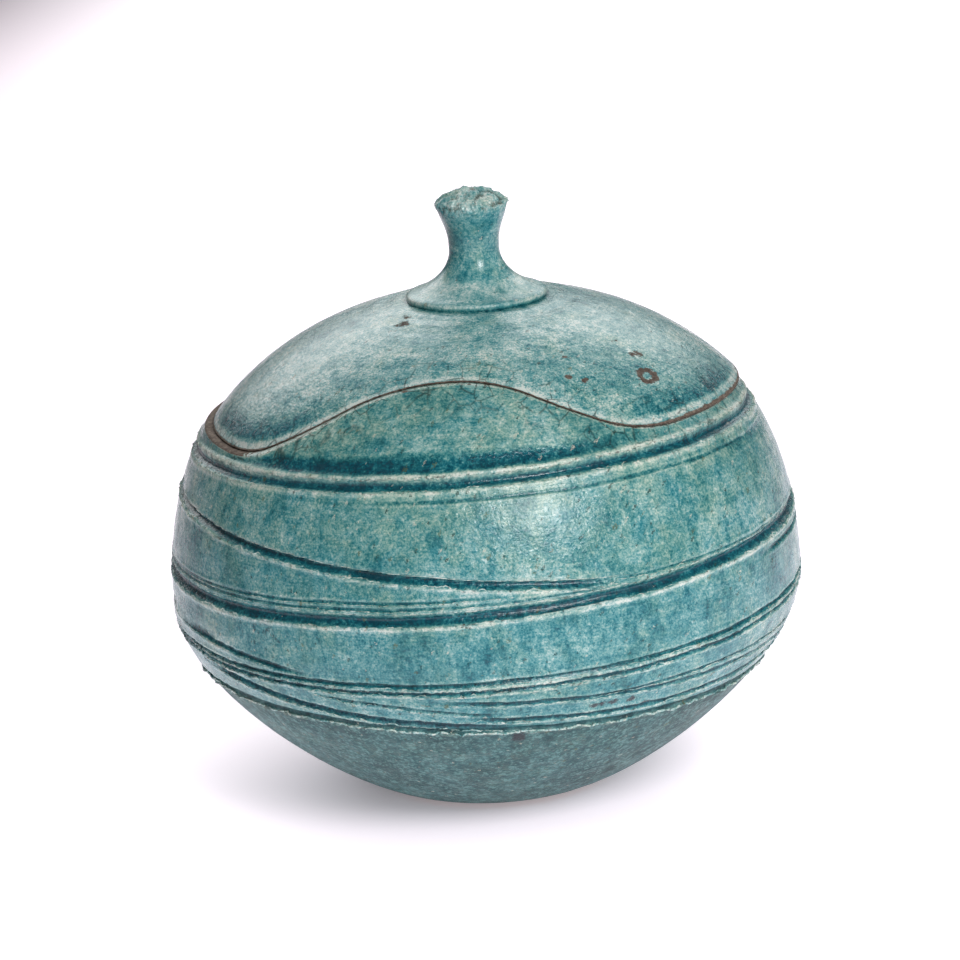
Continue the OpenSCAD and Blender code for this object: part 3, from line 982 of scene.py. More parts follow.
carving = new_tree(
    "carved clay",
    {"Geometry": "Geometry", "Depth Factor": 1.0, "Seed": 3.0, "Finish": "Material"},
    {"Geometry": "Geometry"},
)
t = carving
start = add(t, "NodeGroupInput").outputs
place = add(t, "GeometryNodeInputPosition")
split = add(t, "SeparateXYZ", place)
to_front = add(t, "MULTIPLY", split.outputs["Y"], -1.0)
turn = add(t, "ARCTAN2", split.outputs["X"], to_front)
azimuth_field = add(t, "DEGREES", turn)
level_field = add(t, "MULTIPLY", split.outputs["Z"], 1 / MM)
stretch_field = add(t, "GeometryNodeInputNamedAttribute", Name="stretch")
skin_field = add(t, "GeometryNodeInputNamedAttribute", Name="skin")

most = {}
for number, (name, line) in enumerate(LINES.items()):
    seed = add(t, "ADD", start["Seed"], SEED_STEP * number)
    group = add(t, "GeometryNodeGroup", label=name, node_tree=line_group, Azimuth=azimuth_field,
                Level=level_field, Stretch=stretch_field, Seed=seed, **line)
    for label in LINE_RESULTS:
        made = group.outputs[label]
        most[label] = add(t, "MAXIMUM", most[label], made) if number else made

deepest = add(t, "MULTIPLY", most["Cut"], start["Depth Factor"])
uncut = add(t, "MapRange", deepest, LIP_CUT_MM, 0.0)
left_lip = add(t, "MULTIPLY", most["Lip"], uncut)
raised = add(t, "SUBTRACT", left_lip, deepest)
on_skin = add(t, "MULTIPLY", raised, skin_field)
metres = add(t, "MULTIPLY", on_skin, MM)
normal = add(t, "GeometryNodeInputNormal")
offset = add(t, "VectorMath", normal, metres, operation="SCALE")
pool_here = add(t, "MULTIPLY", most["Pool"], skin_field)
pale_left = add(t, "MULTIPLY", most["Pale"], uncut)
pale_here = add(t, "MULTIPLY", pale_left, skin_field)
shade_here = add(t, "MULTIPLY", most["Shade"], skin_field)
geometry = start["Geometry"]
for name, value in (("pool", pool_here), ("pale", pale_here), ("shade", shade_here)):
    geometry = add(t, "GeometryNodeStoreNamedAttribute", Geometry=geometry, Name=name, Value=value,
                   domain="POINT")
moved = add(t, "GeometryNodeSetPosition", Geometry=geometry, Offset=offset)
close_tree(t, moved, start["Finish"])

# %% [markdown]
# ### Torn lips
# A loop tool that drags through groggy clay leaves a burr at the edge of the cut: a thin,
# broken crest that the glaze hardly covers. It is finer than the rings of the skin, so it is a
# piece of its own. Each burr is a curve whose points are found by rays shot at the carved
# skin, and it is swept with a small round whose radius rises and falls, down to nothing.

# %% One torn lip
SHARED_SIZES = ("Height", "Rise", "Tilt", "Wander", "Start", "Length")
LIP_SIZES = {label: LINE_SIZES[label] for label in SHARED_SIZES}
LIP_SIZES |= {"Line Seed": 0.0, "Stretch": 1.1, "Offset": -2.0, "Bead": 0.5, "Rag": 0.7, "Weave": 0.5}
LIP_STEP = 0.72
LIP_SIDES = 6
LIP_FADE = 8.0
WEAVE_MM = 4.5
WEAVE_GAIN = 6.0
TORN_MM = 2.4
TORN_MIDDLE = 0.46
SWELL_GAIN = 6.0
SWELL_BASE = 0.8
CRUMB_MM = 1.1
CRUMB_MIDDLE = 0.6
CRUMB_HEIGHT = 0.9
LIP_PALE = 0.7

lip_group = new_tree(
    "torn lip",
    {"Skin": "Geometry", "Points": 900, "Ring": True} | LIP_SIZES,
    {"Geometry": "Geometry"},
)
t = lip_group
sizes = add(t, "NodeGroupInput").outputs
line = add(t, "GeometryNodeCurvePrimitiveLine")
points = add(t, "GeometryNodeResampleCurve", Curve=line, Count=sizes["Points"], mode="COUNT")
number = add(t, "GeometryNodeInputIndex")
share = add(t, "DIVIDE", number, sizes["Points"])
degrees = add(t, "MULTIPLY_ADD", share, sizes["Length"], sizes["Start"])
sine, cosine, level = line_height(t, degrees, sizes)
back_cosine = add(t, "MULTIPLY", cosine, -1.0)
outwards = add(t, "CombineXYZ", sine, back_cosine)
inwards = add(t, "VectorMath", outwards, -1.0, operation="SCALE")
far_out = add(t, "VectorMath", outwards, 2 * BELLY_R * MM, operation="SCALE")


def skin_point(height):
    """The place on the skin at this azimuth and height, in metres."""
    lifted = add(t, "MULTIPLY", height, MM)
    raised = add(t, "CombineXYZ", Z=lifted)
    source = add(t, "VectorMath", far_out, raised, operation="ADD")
    ray = add(t, "GeometryNodeRaycast", Target_Geometry=sizes["Skin"], Source_Position=source,
              Ray_Direction=inwards, Ray_Length=2 * BELLY_R * MM)
    return ray.outputs["Hit Position"]


# The burr follows the same slow wander as its line, and weaves a little on top of it
first_mm = add(t, "VectorMath", skin_point(level), 1 / MM, operation="SCALE")
middle = wandered(t, first_mm, level, sizes["Line Seed"], sizes)
weave = swing(t, first_mm, 1 / WEAVE_MM, sizes["Weave"], W=sizes["Offset"], Detail=3.0, Roughness=0.6)
woven = add(t, "MULTIPLY_ADD", weave, WEAVE_GAIN, sizes["Offset"])
upright = add(t, "DIVIDE", woven, sizes["Stretch"])
place = add(t, "ADD", upright, middle)
laid = add(t, "GeometryNodeSetPosition", Geometry=points, Position=skin_point(place))
closed = add(t, "GeometryNodeSetSplineCyclic", Geometry=laid, Cyclic=sizes["Ring"])

# The bead's radius: torn at a few millimetres, and tapered at the ends of an open burr
torn = swing(t, first_mm, 1 / TORN_MM, sizes["Rag"], TORN_MIDDLE, W=sizes["Height"], Detail=4.0,
             Roughness=0.7)
swell = add(t, "MULTIPLY_ADD", torn, SWELL_GAIN, SWELL_BASE, use_clamp=True)
from_start = add(t, "SUBTRACT", degrees, sizes["Start"])
to_end = add(t, "SUBTRACT", sizes["Length"], from_start)
nearest_end = add(t, "MINIMUM", from_start, to_end)
taper = add(t, "MapRange", nearest_end, 0.0, LIP_FADE)
ring_or_taper = add(t, "MAXIMUM", taper, sizes["Ring"])
size = add(t, "MULTIPLY", swell, ring_or_taper)
radius_mm = add(t, "MULTIPLY", size, sizes["Bead"])
radius = add(t, "MULTIPLY", radius_mm, MM)
section = add(t, "GeometryNodeCurvePrimitiveCircle", Resolution=LIP_SIDES, Radius=1.0)
swept = add(t, "GeometryNodeCurveToMesh", Curve=closed, Profile_Curve=section, Scale=radius, Fill_Caps=True)
where = place_in_mm(t)
crumb = add(t, "TexNoise", Vector=where, Scale=1 / CRUMB_MM, Detail=3.0, Roughness=0.7)
crumb_part = add(t, "SUBTRACT", crumb, CRUMB_MIDDLE)
rough_mm = add(t, "MULTIPLY", crumb_part, CRUMB_HEIGHT * MM)
rough = add(t, "MULTIPLY", rough_mm, sizes["Rag"])
normal = add(t, "GeometryNodeInputNormal")
offset = add(t, "VectorMath", normal, rough, operation="SCALE")
crumbled = add(t, "GeometryNodeSetPosition", Geometry=swept, Offset=offset)
add(t, "NodeGroupOutput", Geometry=crumbled)
print("torn lip group has", len(t.nodes), "nodes")

# %% Table of lips
# Each lip names its line, how far it lies above or below the line, and how it is torn
LIPS = [
    ("shoulder line", dict(Offset=2.7, Bead=0.34, Rag=2.8, Weave=0.7, Stretch=1.3)),
    ("shoulder line", dict(Offset=-2.5, Bead=0.3, Rag=2.8, Weave=0.7, Stretch=1.3)),
    ("long diagonal", dict(Offset=0.75, Bead=0.26, Rag=0.8, Weave=0.2)),
    ("long diagonal", dict(Offset=-2.7, Bead=0.38, Rag=1.3, Weave=0.7)),
    ("belly line", dict(Offset=2.2, Bead=0.25, Rag=1.2, Weave=0.4)),
    ("belly line", dict(Offset=-2.8, Bead=0.42, Rag=1.3, Weave=0.6)),
    ("belly line", dict(Offset=-2.5, Bead=0.6, Rag=0.7, Weave=0.2, Start=4, Length=22)),
    ("upper belly scratch", dict(Offset=-0.9, Bead=0.22, Rag=1.2, Weave=0.2)),
    ("lower belly scratch", dict(Offset=-0.9, Bead=0.25, Rag=1.2, Weave=0.2)),
    ("right belly scratch", dict(Offset=-0.9, Bead=0.28, Rag=1.5, Weave=0.6)),
    ("short diagonal", dict(Offset=-1.6, Bead=0.26, Rag=1.3, Weave=0.4)),
    ("waist line", dict(Offset=-1.3, Bead=0.3, Rag=1.4, Weave=0.4)),
    ("crinkled line", dict(Offset=1.0, Bead=0.3, Rag=1.7, Weave=0.7)),
    ("crinkled line", dict(Offset=-1.1, Bead=0.36, Rag=1.7, Weave=0.8)),
    ("split", dict(Offset=-0.8, Bead=0.3, Rag=1.4, Weave=0.6)),
    ("deep diagonal", dict(Offset=-2.2, Bead=0.34, Rag=1.2, Weave=0.6)),
    ("upper right cut", dict(Offset=-1.3, Bead=0.32, Rag=1.3, Weave=0.5)),
    ("right scratch", dict(Offset=-0.8, Bead=0.28, Rag=1.4, Weave=0.5)),
    ("lower right cut", dict(Offset=-1.6, Bead=0.34, Rag=1.2, Weave=0.6)),
    ("ragged lowest line", dict(Offset=-1.3, Bead=0.5, Rag=1.1, Weave=0.9, Stretch=1.35)),
]

lips_tree = new_tree(
    "torn lips",
    {"Geometry": "Geometry", "Skin": "Object", "Bead Factor": 1.0, "Seed": 3.0, "Finish": "Material"},
    {"Geometry": "Geometry"},
)
t = lips_tree
start = add(t, "NodeGroupInput").outputs
carved_skin = add(t, "GeometryNodeObjectInfo", Object=start["Skin"]).outputs["Geometry"]
together = add(t, "GeometryNodeJoinGeometry")
line_names = list(LINES)
for name, lip in LIPS:
    line = LINE_SIZES | LINES[name]
    feeds = {label: line[label] for label in SHARED_SIZES} | lip
    feeds["Line Seed"] = add(t, "ADD", start["Seed"], SEED_STEP * line_names.index(name))
    feeds["Bead"] = add(t, "MULTIPLY", start["Bead Factor"], lip["Bead"])
    feeds["Points"] = int(math.radians(feeds["Length"]) * BELLY_R / LIP_STEP)
    feeds["Ring"] = feeds["Length"] > WHOLE_TURN
    burr = add(t, "GeometryNodeGroup", label=name + " lip", node_tree=lip_group, Skin=carved_skin, **feeds)
    t.links.new(burr.outputs[0], together.inputs[0])
pale_lips = add(t, "GeometryNodeStoreNamedAttribute", Geometry=together, Name="pale", Value=LIP_PALE,
                domain="POINT")
smooth = add(t, "GeometryNodeSetShadeSmooth", Geometry=pale_lips, Shade_Smooth=True)
close_tree(t, smooth, start["Finish"])

# %% [markdown]
# ### Grog under the glaze
# Raku clay is full of grog, crushed fired clay that stands heat shock. It makes the skin
# faintly lumpy, and where clay is torn, as on the knob's top, it leaves crumbs and chips.
# A Displace modifier could do this, but a tree can use the torn places that each piece keeps.

# %% The tree that roughens clay
LUMP_MIDDLE = 0.6
LIP_LUMPS = 1.5
CHIP_FROM = (0.35, 0.62, -1.0, 0.25)
PIT_FROM = (0.5, 0.4)

grog = new_tree(
    "grog and chips",
    {"Geometry": "Geometry", "Lump Height": 0.12, "Lump Size": 5.0, "Chip Depth": 1.2, "Chip Size": 3.0}
    | {"Seed": 5.0, "Finish": "Material"},
    {"Geometry": "Geometry"},
)
t = grog
start = add(t, "NodeGroupInput").outputs
place = place_in_mm(t)
skin_field = add(t, "GeometryNodeInputNamedAttribute", Name="skin")
torn_field = add(t, "GeometryNodeInputNamedAttribute", Name="torn")
pale_field = add(t, "GeometryNodeInputNamedAttribute", Name="pale")
lump_scale = add(t, "DIVIDE", 1.0, start["Lump Size"])
lump = swing(t, place, lump_scale, start["Lump Height"], LUMP_MIDDLE, W=start["Seed"], Detail=3.0,
             Roughness=0.6)
chip_scale = add(t, "DIVIDE", 1.0, start["Chip Size"])
chips = add(t, "TexNoise", Vector=place, W=start["Seed"], Scale=chip_scale, Detail=5.0, Roughness=0.6,
            noise_dimensions="4D")
chipped = add(t, "MapRange", chips, *CHIP_FROM)
chip = add(t, "MULTIPLY", chipped, start["Chip Depth"])
torn_here = add(t, "MULTIPLY", chip, torn_field)
rough_lip = add(t, "MULTIPLY_ADD", pale_field, LIP_LUMPS, 1.0)
lump_here = add(t, "MULTIPLY", lump, rough_lip)
raised = add(t, "MULTIPLY_ADD", lump_here, skin_field, torn_here)
metres = add(t, "MULTIPLY", raised, MM)
normal = add(t, "GeometryNodeInputNormal")
offset = add(t, "VectorMath", normal, metres, operation="SCALE")
pit_share = add(t, "MapRange", chips, *PIT_FROM)
pit = add(t, "MULTIPLY", pit_share, torn_field)
pitted = add(t, "GeometryNodeStoreNamedAttribute", Geometry=start["Geometry"], Name="pit", Value=pit,
             domain="POINT")
moved = add(t, "GeometryNodeSetPosition", Geometry=pitted, Offset=offset)
close_tree(t, moved, start["Finish"])

# %% [markdown]
# ## The glaze
# A copper turquoise raku glaze is glossy glass over pale groggy clay. What the eye reads as
# pattern is mostly its thickness: thin on ridges, where it is cream and celadon, thick in
# hollows, where it is deep teal. So one number stands for the thickness at each point, made
# of the carving, of blotches and of fine mottling, and one colour ramp turns it into colour.
# The alternative, a colour for each zone, would show its borders.

# %% Colours
GLAZE_STOPS = [
    (0.00, "#d6e0da"),
    (0.16, "#a3c5c3"),
    (0.34, "#6ba4a6"),
    (0.50, "#3a8890"),
    (0.66, "#146b78"),
    (0.82, "#005361"),
    (1.00, "#003b4b"),
]
GREEN_STOPS = [
    (0.00, "#d5dccd"),
    (0.16, "#a8c0ae"),
    (0.34, "#7aa396"),
    (0.50, "#4b8882"),
    (0.66, "#286b6c"),
    (0.82, "#0e5054"),
    (1.00, "#05383b"),
]
SATIN_STOPS = [(0.27, "#032426"), (0.5, "#194543"), (0.74, "#66908b")]
CLAY_STOPS = [(0.3, "#40372f"), (0.5, "#67594d"), (0.7, "#97897c")]
SMOKED_STOPS = [(0.25, "#26211f"), (0.5, "#3d3531"), (0.75, "#574c45")]

# %% Patterns of the glaze, from large to small
BLOTCH_MM = 24.0
MOTTLE_MM = 6.0
FLECK_MM = 1.7
GRIT_MM = 0.65
STREAK_MM = 0.9
CRAWL_MM = 3.2
DRIP_MM = 5.5
PEBBLE_MM = 1.4
DRIFT_MM = 30.0
DRIP_SQUEEZE = (1, 1, 0.45)

# Size, detail, roughness and sharpness of each noise
NOISES = {
    "blotch": (BLOTCH_MM, 2.0, 0.5, 1.0),
    "mottle": (MOTTLE_MM, 3.0, 0.6, 1.0),
    "fleck": (FLECK_MM, 3.0, 0.7, 1.8),
    "grit": (GRIT_MM, 2.0, 0.7, 3.2),
    "crawl": (CRAWL_MM, 3.0, 0.65, 1.5),
}
# A drip shows where its noise is between the first two values, and adds between the last two
DRIP_RANGE = (0.5, 0.68, -0.12, 0.6)


def glaze_patterns(t, p, seed):
    """The noises of a glaze at a place in millimetres, each centred on zero and sharpened."""
    patterns = {}
    for label, (size, detail, rough, sharp) in NOISES.items():
        noise = add(t, "TexNoise", Vector=p, W=seed, Scale=1 / size, Detail=detail, Roughness=rough,
                    noise_dimensions="4D")
        patterns[label] = add(t, "MapRange", noise, 0.5 - 0.5 / sharp, 0.5 + 0.5 / sharp, -0.5, 0.5)

    # Pebbles: grains of grog that stand up under the glaze
    cells = add(t, "TexVoronoi", Vector=p, Scale=1 / PEBBLE_MM)
    patterns["pebble"] = add(t, "SUBTRACT", 0.5, cells.outputs["Distance"])

    # Turning streaks: rings found by radius and height, which change slowly round the pot
    parts = add(t, "SeparateXYZ", p)
    on_plan = add(t, "VectorMath", p, (1, 1, 0), operation="MULTIPLY")
    radius = add(t, "VectorMath", on_plan, operation="LENGTH")
    slow = add(t, "TexNoise", Vector=p, W=seed, Scale=1 / DRIFT_MM, Detail=1.0, noise_dimensions="4D")
    drift = add(t, "MULTIPLY", slow, DRIFT_MM)
    rings = add(t, "CombineXYZ", radius.outputs["Value"], parts.outputs["Z"], drift)
    streak = add(t, "TexNoise", Vector=rings, Scale=1 / STREAK_MM, Detail=3.0, Roughness=0.65)
    patterns["streak"] = add(t, "SUBTRACT", streak, 0.5)

    # Drips: blotches drawn out downwards, where the glaze ran and gathered as it melted
    drawn = add(t, "VectorMath", p, DRIP_SQUEEZE, operation="MULTIPLY")
    drip = add(t, "TexNoise", Vector=drawn, Scale=1 / DRIP_MM, Detail=3.0, Roughness=0.6)
    patterns["drip"] = add(t, "MapRange", drip, *DRIP_RANGE)
    return patterns


def dots(t, p, size, share, wide, narrow):
    """Dots in a share of cells of a size, with radii from narrow to wide in parts of the cell."""
    cells = add(t, "TexVoronoi", Vector=p, Scale=1 / size)
    chosen = add(t, "SeparateColor", cells.outputs["Color"])
    picked = add(t, "LESS_THAN", chosen.outputs[0], share)
    sized = add(t, "MULTIPLY_ADD", chosen.outputs[1], wide - narrow, narrow)
    near = add(t, "LESS_THAN", cells.outputs["Distance"], sized)
    return add(t, "MULTIPLY", near, picked)


# %% Layers of the glaze
UPPER_FROM_MM = 85.0
UPPER_TO_MM = 125.0
HUE_MM = 13.0
CRAZE_MM = 6.5
CRAZE_DRAWN = (1, 1, 0.4)
CRAZE_REACH_MM = (20.0, 2.0)
SWAY_MM = 9.0
SWAY_BY_MM = (3, 3, 3)
SHAKE_BY_MM = (1.6, 1.6, 1.6)

# Dots: size of a cell, share of cells with a dot, largest and smallest radius in parts of a cell
SPECKS = (2.6, 0.32, 0.23, 0.08)
CREAM_DOTS = (3.8, 0.3, 0.17, 0.05)
RUST_DOTS = (5.2, 0.28, 0.18, 0.06)

# How much each pattern, and then each fact about the clay, adds to the thickness of the glaze
PATTERN_WEIGHTS = {"blotch": 0.55, "mottle": 0.36, "drip": 0.26, "fleck": 0.34, "grit": 0.35, "streak": 0.42}
PATTERN_WEIGHTS |= {"pebble": -0.14}
FACT_WEIGHTS = {"pool": 0.48, "pale": -0.42}
SATIN_WEIGHT = 0.08
UPPER_WEIGHT = -0.08

# How much of each pattern breaks the smoky satin glaze
CRAWL_WEIGHTS = {"fleck": 0.55, "grit": 0.4, "pebble": 0.35}
CRAWL_GAIN = 0.7
SATIN_SMOKE = 0.7
SMOKE_FROM = (-0.08, 0.2)

# Where the glaze turns green, how fine its cracks are and where they show
GREEN_PATCHES = (0.44, 0.68, 0.1, 0.8)
GREEN_BY_POOL = 1.2
CRACK_WIDTH = (0.05, 0.012)
CRACKS_AT_SEAM = 0.8
CRACKS_ELSEWHERE = 0.12
CRACKED_PATCHES = (-0.08, 0.04, 0.1, 1.0)

# How the flecks break the shade under an overhang and the stains of metal
SHADE_BREAK = 1.3
SHADE_RANGE = (0.45, 1.0, 0.0, 0.6)
STAIN_BREAK = 0.9
STAIN_RANGE = (0.35, 0.65, 0.0, 0.9)


def glaze_colour(t, p, patterns, facts, looks):
    """The glaze's colour from its thickness, its tint and what lies on it."""
    height = add(t, "SeparateXYZ", p).outputs["Z"]
    upper = add(t, "MapRange", height, UPPER_FROM_MM, UPPER_TO_MM)
    total = add(t, "MULTIPLY_ADD", facts["satin"], SATIN_WEIGHT, looks["thickness"])
    total = add(t, "MULTIPLY_ADD", upper, UPPER_WEIGHT, total)
    for label, weight in PATTERN_WEIGHTS.items():
        total = add(t, "MULTIPLY_ADD", patterns[label], weight * looks["contrast"], total)
    for label, weight in FACT_WEIGHTS.items():
        total = add(t, "MULTIPLY_ADD", facts[label], weight, total)
    blue = add(t, "ValToRGB", total, stops=GLAZE_STOPS)
    green = add(t, "ValToRGB", total, stops=GREEN_STOPS)

    # The glaze is greener in patches, near the top, and where it thins out beside a pool
    hue = add(t, "TexNoise", Vector=p, W=looks["seed"] + 5, Scale=1 / HUE_MM, Detail=4.0, Roughness=0.7,
              noise_dimensions="4D")
    hue_here = add(t, "MULTIPLY_ADD", upper, looks["green"], hue)
    patches = add(t, "MapRange", hue_here, *GREEN_PATCHES)
    not_pool = add(t, "SUBTRACT", 1.0, facts["pool"])
    beside = add(t, "MULTIPLY_ADD", facts["pool"], GREEN_BY_POOL, patches)
    green_share = add(t, "MULTIPLY", beside, not_pool, use_clamp=True)
    colour = add(t, "Mix", green_share, blue, green, data_type="RGBA")

    # Smoke from the reduction bin greys the glaze in clouds, most of all where it is satin
    cloud = add(t, "MapRange", patterns["blotch"], *SMOKE_FROM, 0.0, looks["smoke"])
    satin_smoke = add(t, "MULTIPLY_ADD", facts["satin"], SATIN_SMOKE, cloud, use_clamp=True)
    crawled = add(t, "MULTIPLY_ADD", patterns["crawl"], CRAWL_GAIN, 0.5)
    for label, weight in CRAWL_WEIGHTS.items():
        crawled = add(t, "MULTIPLY_ADD", patterns[label], weight, crawled)
    smoky = add(t, "ValToRGB", crawled, stops=SATIN_STOPS)
    colour = add(t, "Mix", satin_smoke, colour, smoky, data_type="RGBA")

    # Fine crazing, drawn in by smoke, and longer cracks beside the seam
    sway = add(t, "TexNoise", Vector=p, Scale=1 / SWAY_MM)
    bent = add(t, "VectorMath", sway.outputs["Color"], SWAY_BY_MM, p, operation="MULTIPLY_ADD")
    upright = add(t, "VectorMath", bent, CRAZE_DRAWN, operation="MULTIPLY")
    web = add(t, "TexVoronoi", Vector=upright, Scale=1 / CRAZE_MM, feature="DISTANCE_TO_EDGE")
    craze_line = add(t, "MapRange", web, *CRACK_WIDTH)
    near_seam = add(t, "MapRange", facts["edge"], *CRAZE_REACH_MM, 0.0, CRACKS_AT_SEAM)
    patchy = add(t, "MapRange", patterns["mottle"], *CRACKED_PATCHES)
    strength = add(t, "MAXIMUM", near_seam, CRACKS_ELSEWHERE)
    craze = add(t, "MULTIPLY", craze_line, strength)
    craze_here = add(t, "MULTIPLY", craze, patchy)

    # Dark specks, cream dots, the shade under an overhang and stains of metal
    shaken = add(t, "VectorMath", patterns["grit"], SHAKE_BY_MM, p, operation="MULTIPLY_ADD")
    specks = dots(t, shaken, *SPECKS)
    cream = dots(t, shaken, *CREAM_DOTS)
    rust = dots(t, shaken, *RUST_DOTS)
    shade = add(t, "MULTIPLY_ADD", patterns["fleck"], SHADE_BREAK, facts["shade"])
    dark_edge = add(t, "MapRange", shade, *SHADE_RANGE)
    stain = add(t, "MULTIPLY_ADD", patterns["fleck"], STAIN_BREAK, facts["stain"])
    stained = add(t, "MapRange", stain, *STAIN_RANGE)
    for mask, top_share, top_colour in (
        (craze_here, 0.9, "#1c302e"),
        (rust, 0.6, "#5c5c30"),
        (specks, 0.75, "#22332b"),
        (cream, 0.6, "#d8d3c0"),
        (dark_edge, 0.8, "#113638"),
        (facts["pit"], 0.75, "#3f4437"),
        (stained, 1.0, "#20242d"),
    ):
        amount = add(t, "MULTIPLY", mask, top_share, use_clamp=True)
        colour = add(t, "Mix", amount, colour, linear(top_colour), data_type="RGBA")
    return colour, specks


# %% Raku glaze over groggy clay
CLAY_GRAIN_MM = 1.3
PEEL_MM = 0.9
FACTS = ("pool", "pale", "shade", "pit", "chip", "stain", "edge", "bare", "satin", "inside")

# Relief of each layer in millimetres
RELIEF = {"streak": 0.07, "mottle": 0.3, "fleck": 0.13, "grit": 0.03, "pebble": 0.07, "satin pebbles": 0.3}
RELIEF |= {"peel": 0.05, "specks": -0.12, "bare": -0.25, "grain": 0.06}

# Pale glaze at the very rim, and how the flecks break pools, pale lips and bare places
RIM_PALE = (1.0, 0.3, 0.0, 0.5)
LIP_BREAKS = {"pool": 1.0, "pale": 2.6}
BARE_BREAK = 0.8
BARE_FROM = (0.46, 0.58)
CHIP_SMOKE = 0.7

# Roughness of the glaze where its mottling is glossiest and dullest, and what adds to it
GLOSS_RANGE = (-0.2, 0.2, 0.14, 0.31)
THIN_ROUGH = 0.15
SATIN_ROUGH = 0.3
SHADE_ROUGH = 0.4
BARE_ROUGH = 0.55


def new_material(name):
    """A material, its empty tree and the place on the piece in millimetres."""
    material = bpy.data.materials.new(name)
    material.use_nodes = True
    tree = material.node_tree
    tree.nodes.clear()
    place = add(tree, "TexCoord").outputs["Object"]
    return material, tree, add(tree, "VectorMath", place, 1 / MM, operation="SCALE")


def clay(tree, p, smoke_share):
    """The grain of bare clay and its colour, from buff to smoked."""
    grain = add(tree, "TexNoise", Vector=p, Scale=1 / CLAY_GRAIN_MM, Detail=4.0, Roughness=0.7)
    buff = add(tree, "ValToRGB", grain, stops=CLAY_STOPS)
    smoked = add(tree, "ValToRGB", grain, stops=SMOKED_STOPS)
    return grain, add(tree, "Mix", smoke_share, buff, smoked, data_type="RGBA")


def raku_glaze(piece_name, looks):
    """Glaze of one piece, by how thick, varied, green at the top, smoky and uneven it is."""
    material, t, p = new_material("turquoise raku glaze on the " + piece_name)
    facts = {label: add(t, "Attribute", attribute_name=label).outputs["Fac"] for label in FACTS}
    patterns = glaze_patterns(t, p, looks["seed"])

    # Lips and pools break up at the size of the flecks, as glaze crawls over grog
    at_rim = add(t, "MapRange", facts["edge"], *RIM_PALE)
    facts["pale"] = add(t, "MAXIMUM", facts["pale"], at_rim)
    for label, strength in LIP_BREAKS.items():
        broken = add(t, "MULTIPLY_ADD", patterns["fleck"], strength, 1.0)
        facts[label] = add(t, "MULTIPLY", facts[label], broken, use_clamp=True)
    colour, specks = glaze_colour(t, p, patterns, facts, looks)

    # Bare clay at the cut edges, under the foot and in chips, smoked dark inside
    smoke_share = add(t, "MULTIPLY_ADD", facts["chip"], CHIP_SMOKE, facts["inside"], use_clamp=True)
    grain, bare_colour = clay(t, p, smoke_share)
    open_clay = add(t, "MAXIMUM", facts["bare"], facts["chip"])
    bare_edge = add(t, "MULTIPLY_ADD", patterns["fleck"], BARE_BREAK, open_clay)
    bare = add(t, "MapRange", bare_edge, *BARE_FROM)
    colour = add(t, "Mix", bare, colour, bare_colour, data_type="RGBA")

    # Gloss is broken by the mottling and lost where the glaze is thin, satin or missing
    gloss = add(t, "MapRange", patterns["mottle"], *GLOSS_RANGE)
    thin = add(t, "MULTIPLY_ADD", facts["pale"], THIN_ROUGH, gloss)
    satin = add(t, "MULTIPLY_ADD", facts["satin"], SATIN_ROUGH, thin)
    shaded = add(t, "MULTIPLY_ADD", facts["shade"], SHADE_ROUGH, satin)
    rough = add(t, "MULTIPLY_ADD", bare, BARE_ROUGH, shaded, use_clamp=True)

    # Relief in millimetres: fired-over streaks, mottling, orange peel and open pits
    peel = add(t, "TexNoise", Vector=p, Scale=1 / PEEL_MM, Detail=2.0)
    pebbly = add(t, "MULTIPLY", patterns["fleck"], facts["satin"])
    layers = patterns | {"satin pebbles": pebbly, "peel": peel, "specks": specks}
    layers |= {"bare": bare, "grain": grain}
    relief = 0.0
    for label, weight in RELIEF.items():
        relief = add(t, "MULTIPLY_ADD", layers[label], weight, relief)
    bump = add(t, "Bump", Height=relief, Distance=looks["unevenness"] * MM, Strength=1.0)
    shader = add(t, "BsdfPrincipled", Base_Color=colour, Roughness=rough, Normal=bump, IOR=1.5)
    add(t, "OutputMaterial", shader)
    return material


LOOKS = {
    "jar": dict(thickness=0.46, contrast=0.93, green=0.12, smoke=0.12, unevenness=1.0, seed=1.0),
    "lid": dict(thickness=0.37, contrast=1.13, green=-0.06, smoke=0.12, unevenness=0.9, seed=11.0),
    "knob": dict(thickness=0.51, contrast=0.9, green=-0.03, smoke=0.1, unevenness=0.25, seed=23.0),
}
jar_glaze, lid_glaze, knob_glaze = [raku_glaze(name, looks) for name, looks in LOOKS.items()]
print("glaze has", len(jar_glaze.node_tree.nodes), "nodes")

# %% [markdown]
# ## Bare clay
# The strip was never glazed. Raku clay fires to a pinkish buff and comes out of the smoke
# grey and brown in clouds, with grains of grog that stand out. It is fully matte.

# %% Bare smoked clay
CLOUD_MM = 18.0
CLAY_RELIEF = 0.15
SMOKED_FROM = (0.4, 0.62)
CLAY_ROUGH = 0.85

bare_clay, t, p = new_material("bare smoked raku clay")
smoke = add(t, "TexNoise", Vector=p, Scale=1 / CLOUD_MM, Detail=2.0)
smoke_share = add(t, "MapRange", smoke, *SMOKED_FROM)
grain, clay_colour = clay(t, p, smoke_share)
relief = add(t, "Bump", Height=grain, Distance=CLAY_RELIEF * MM, Strength=1.0)
shader = add(t, "BsdfPrincipled", Base_Color=clay_colour, Roughness=CLAY_ROUGH, Normal=relief, IOR=1.5)
add(t, "OutputMaterial", shader)
strip.data.materials.append(bare_clay)

# %% [markdown]
# ## Run the trees
# A tree works live as a modifier. Its inputs are set by each socket's identifier, which stays
# the same when a socket is renamed. The result is then taken as a plain mesh, which exports
# and moves with the lid without any modifier left on it.

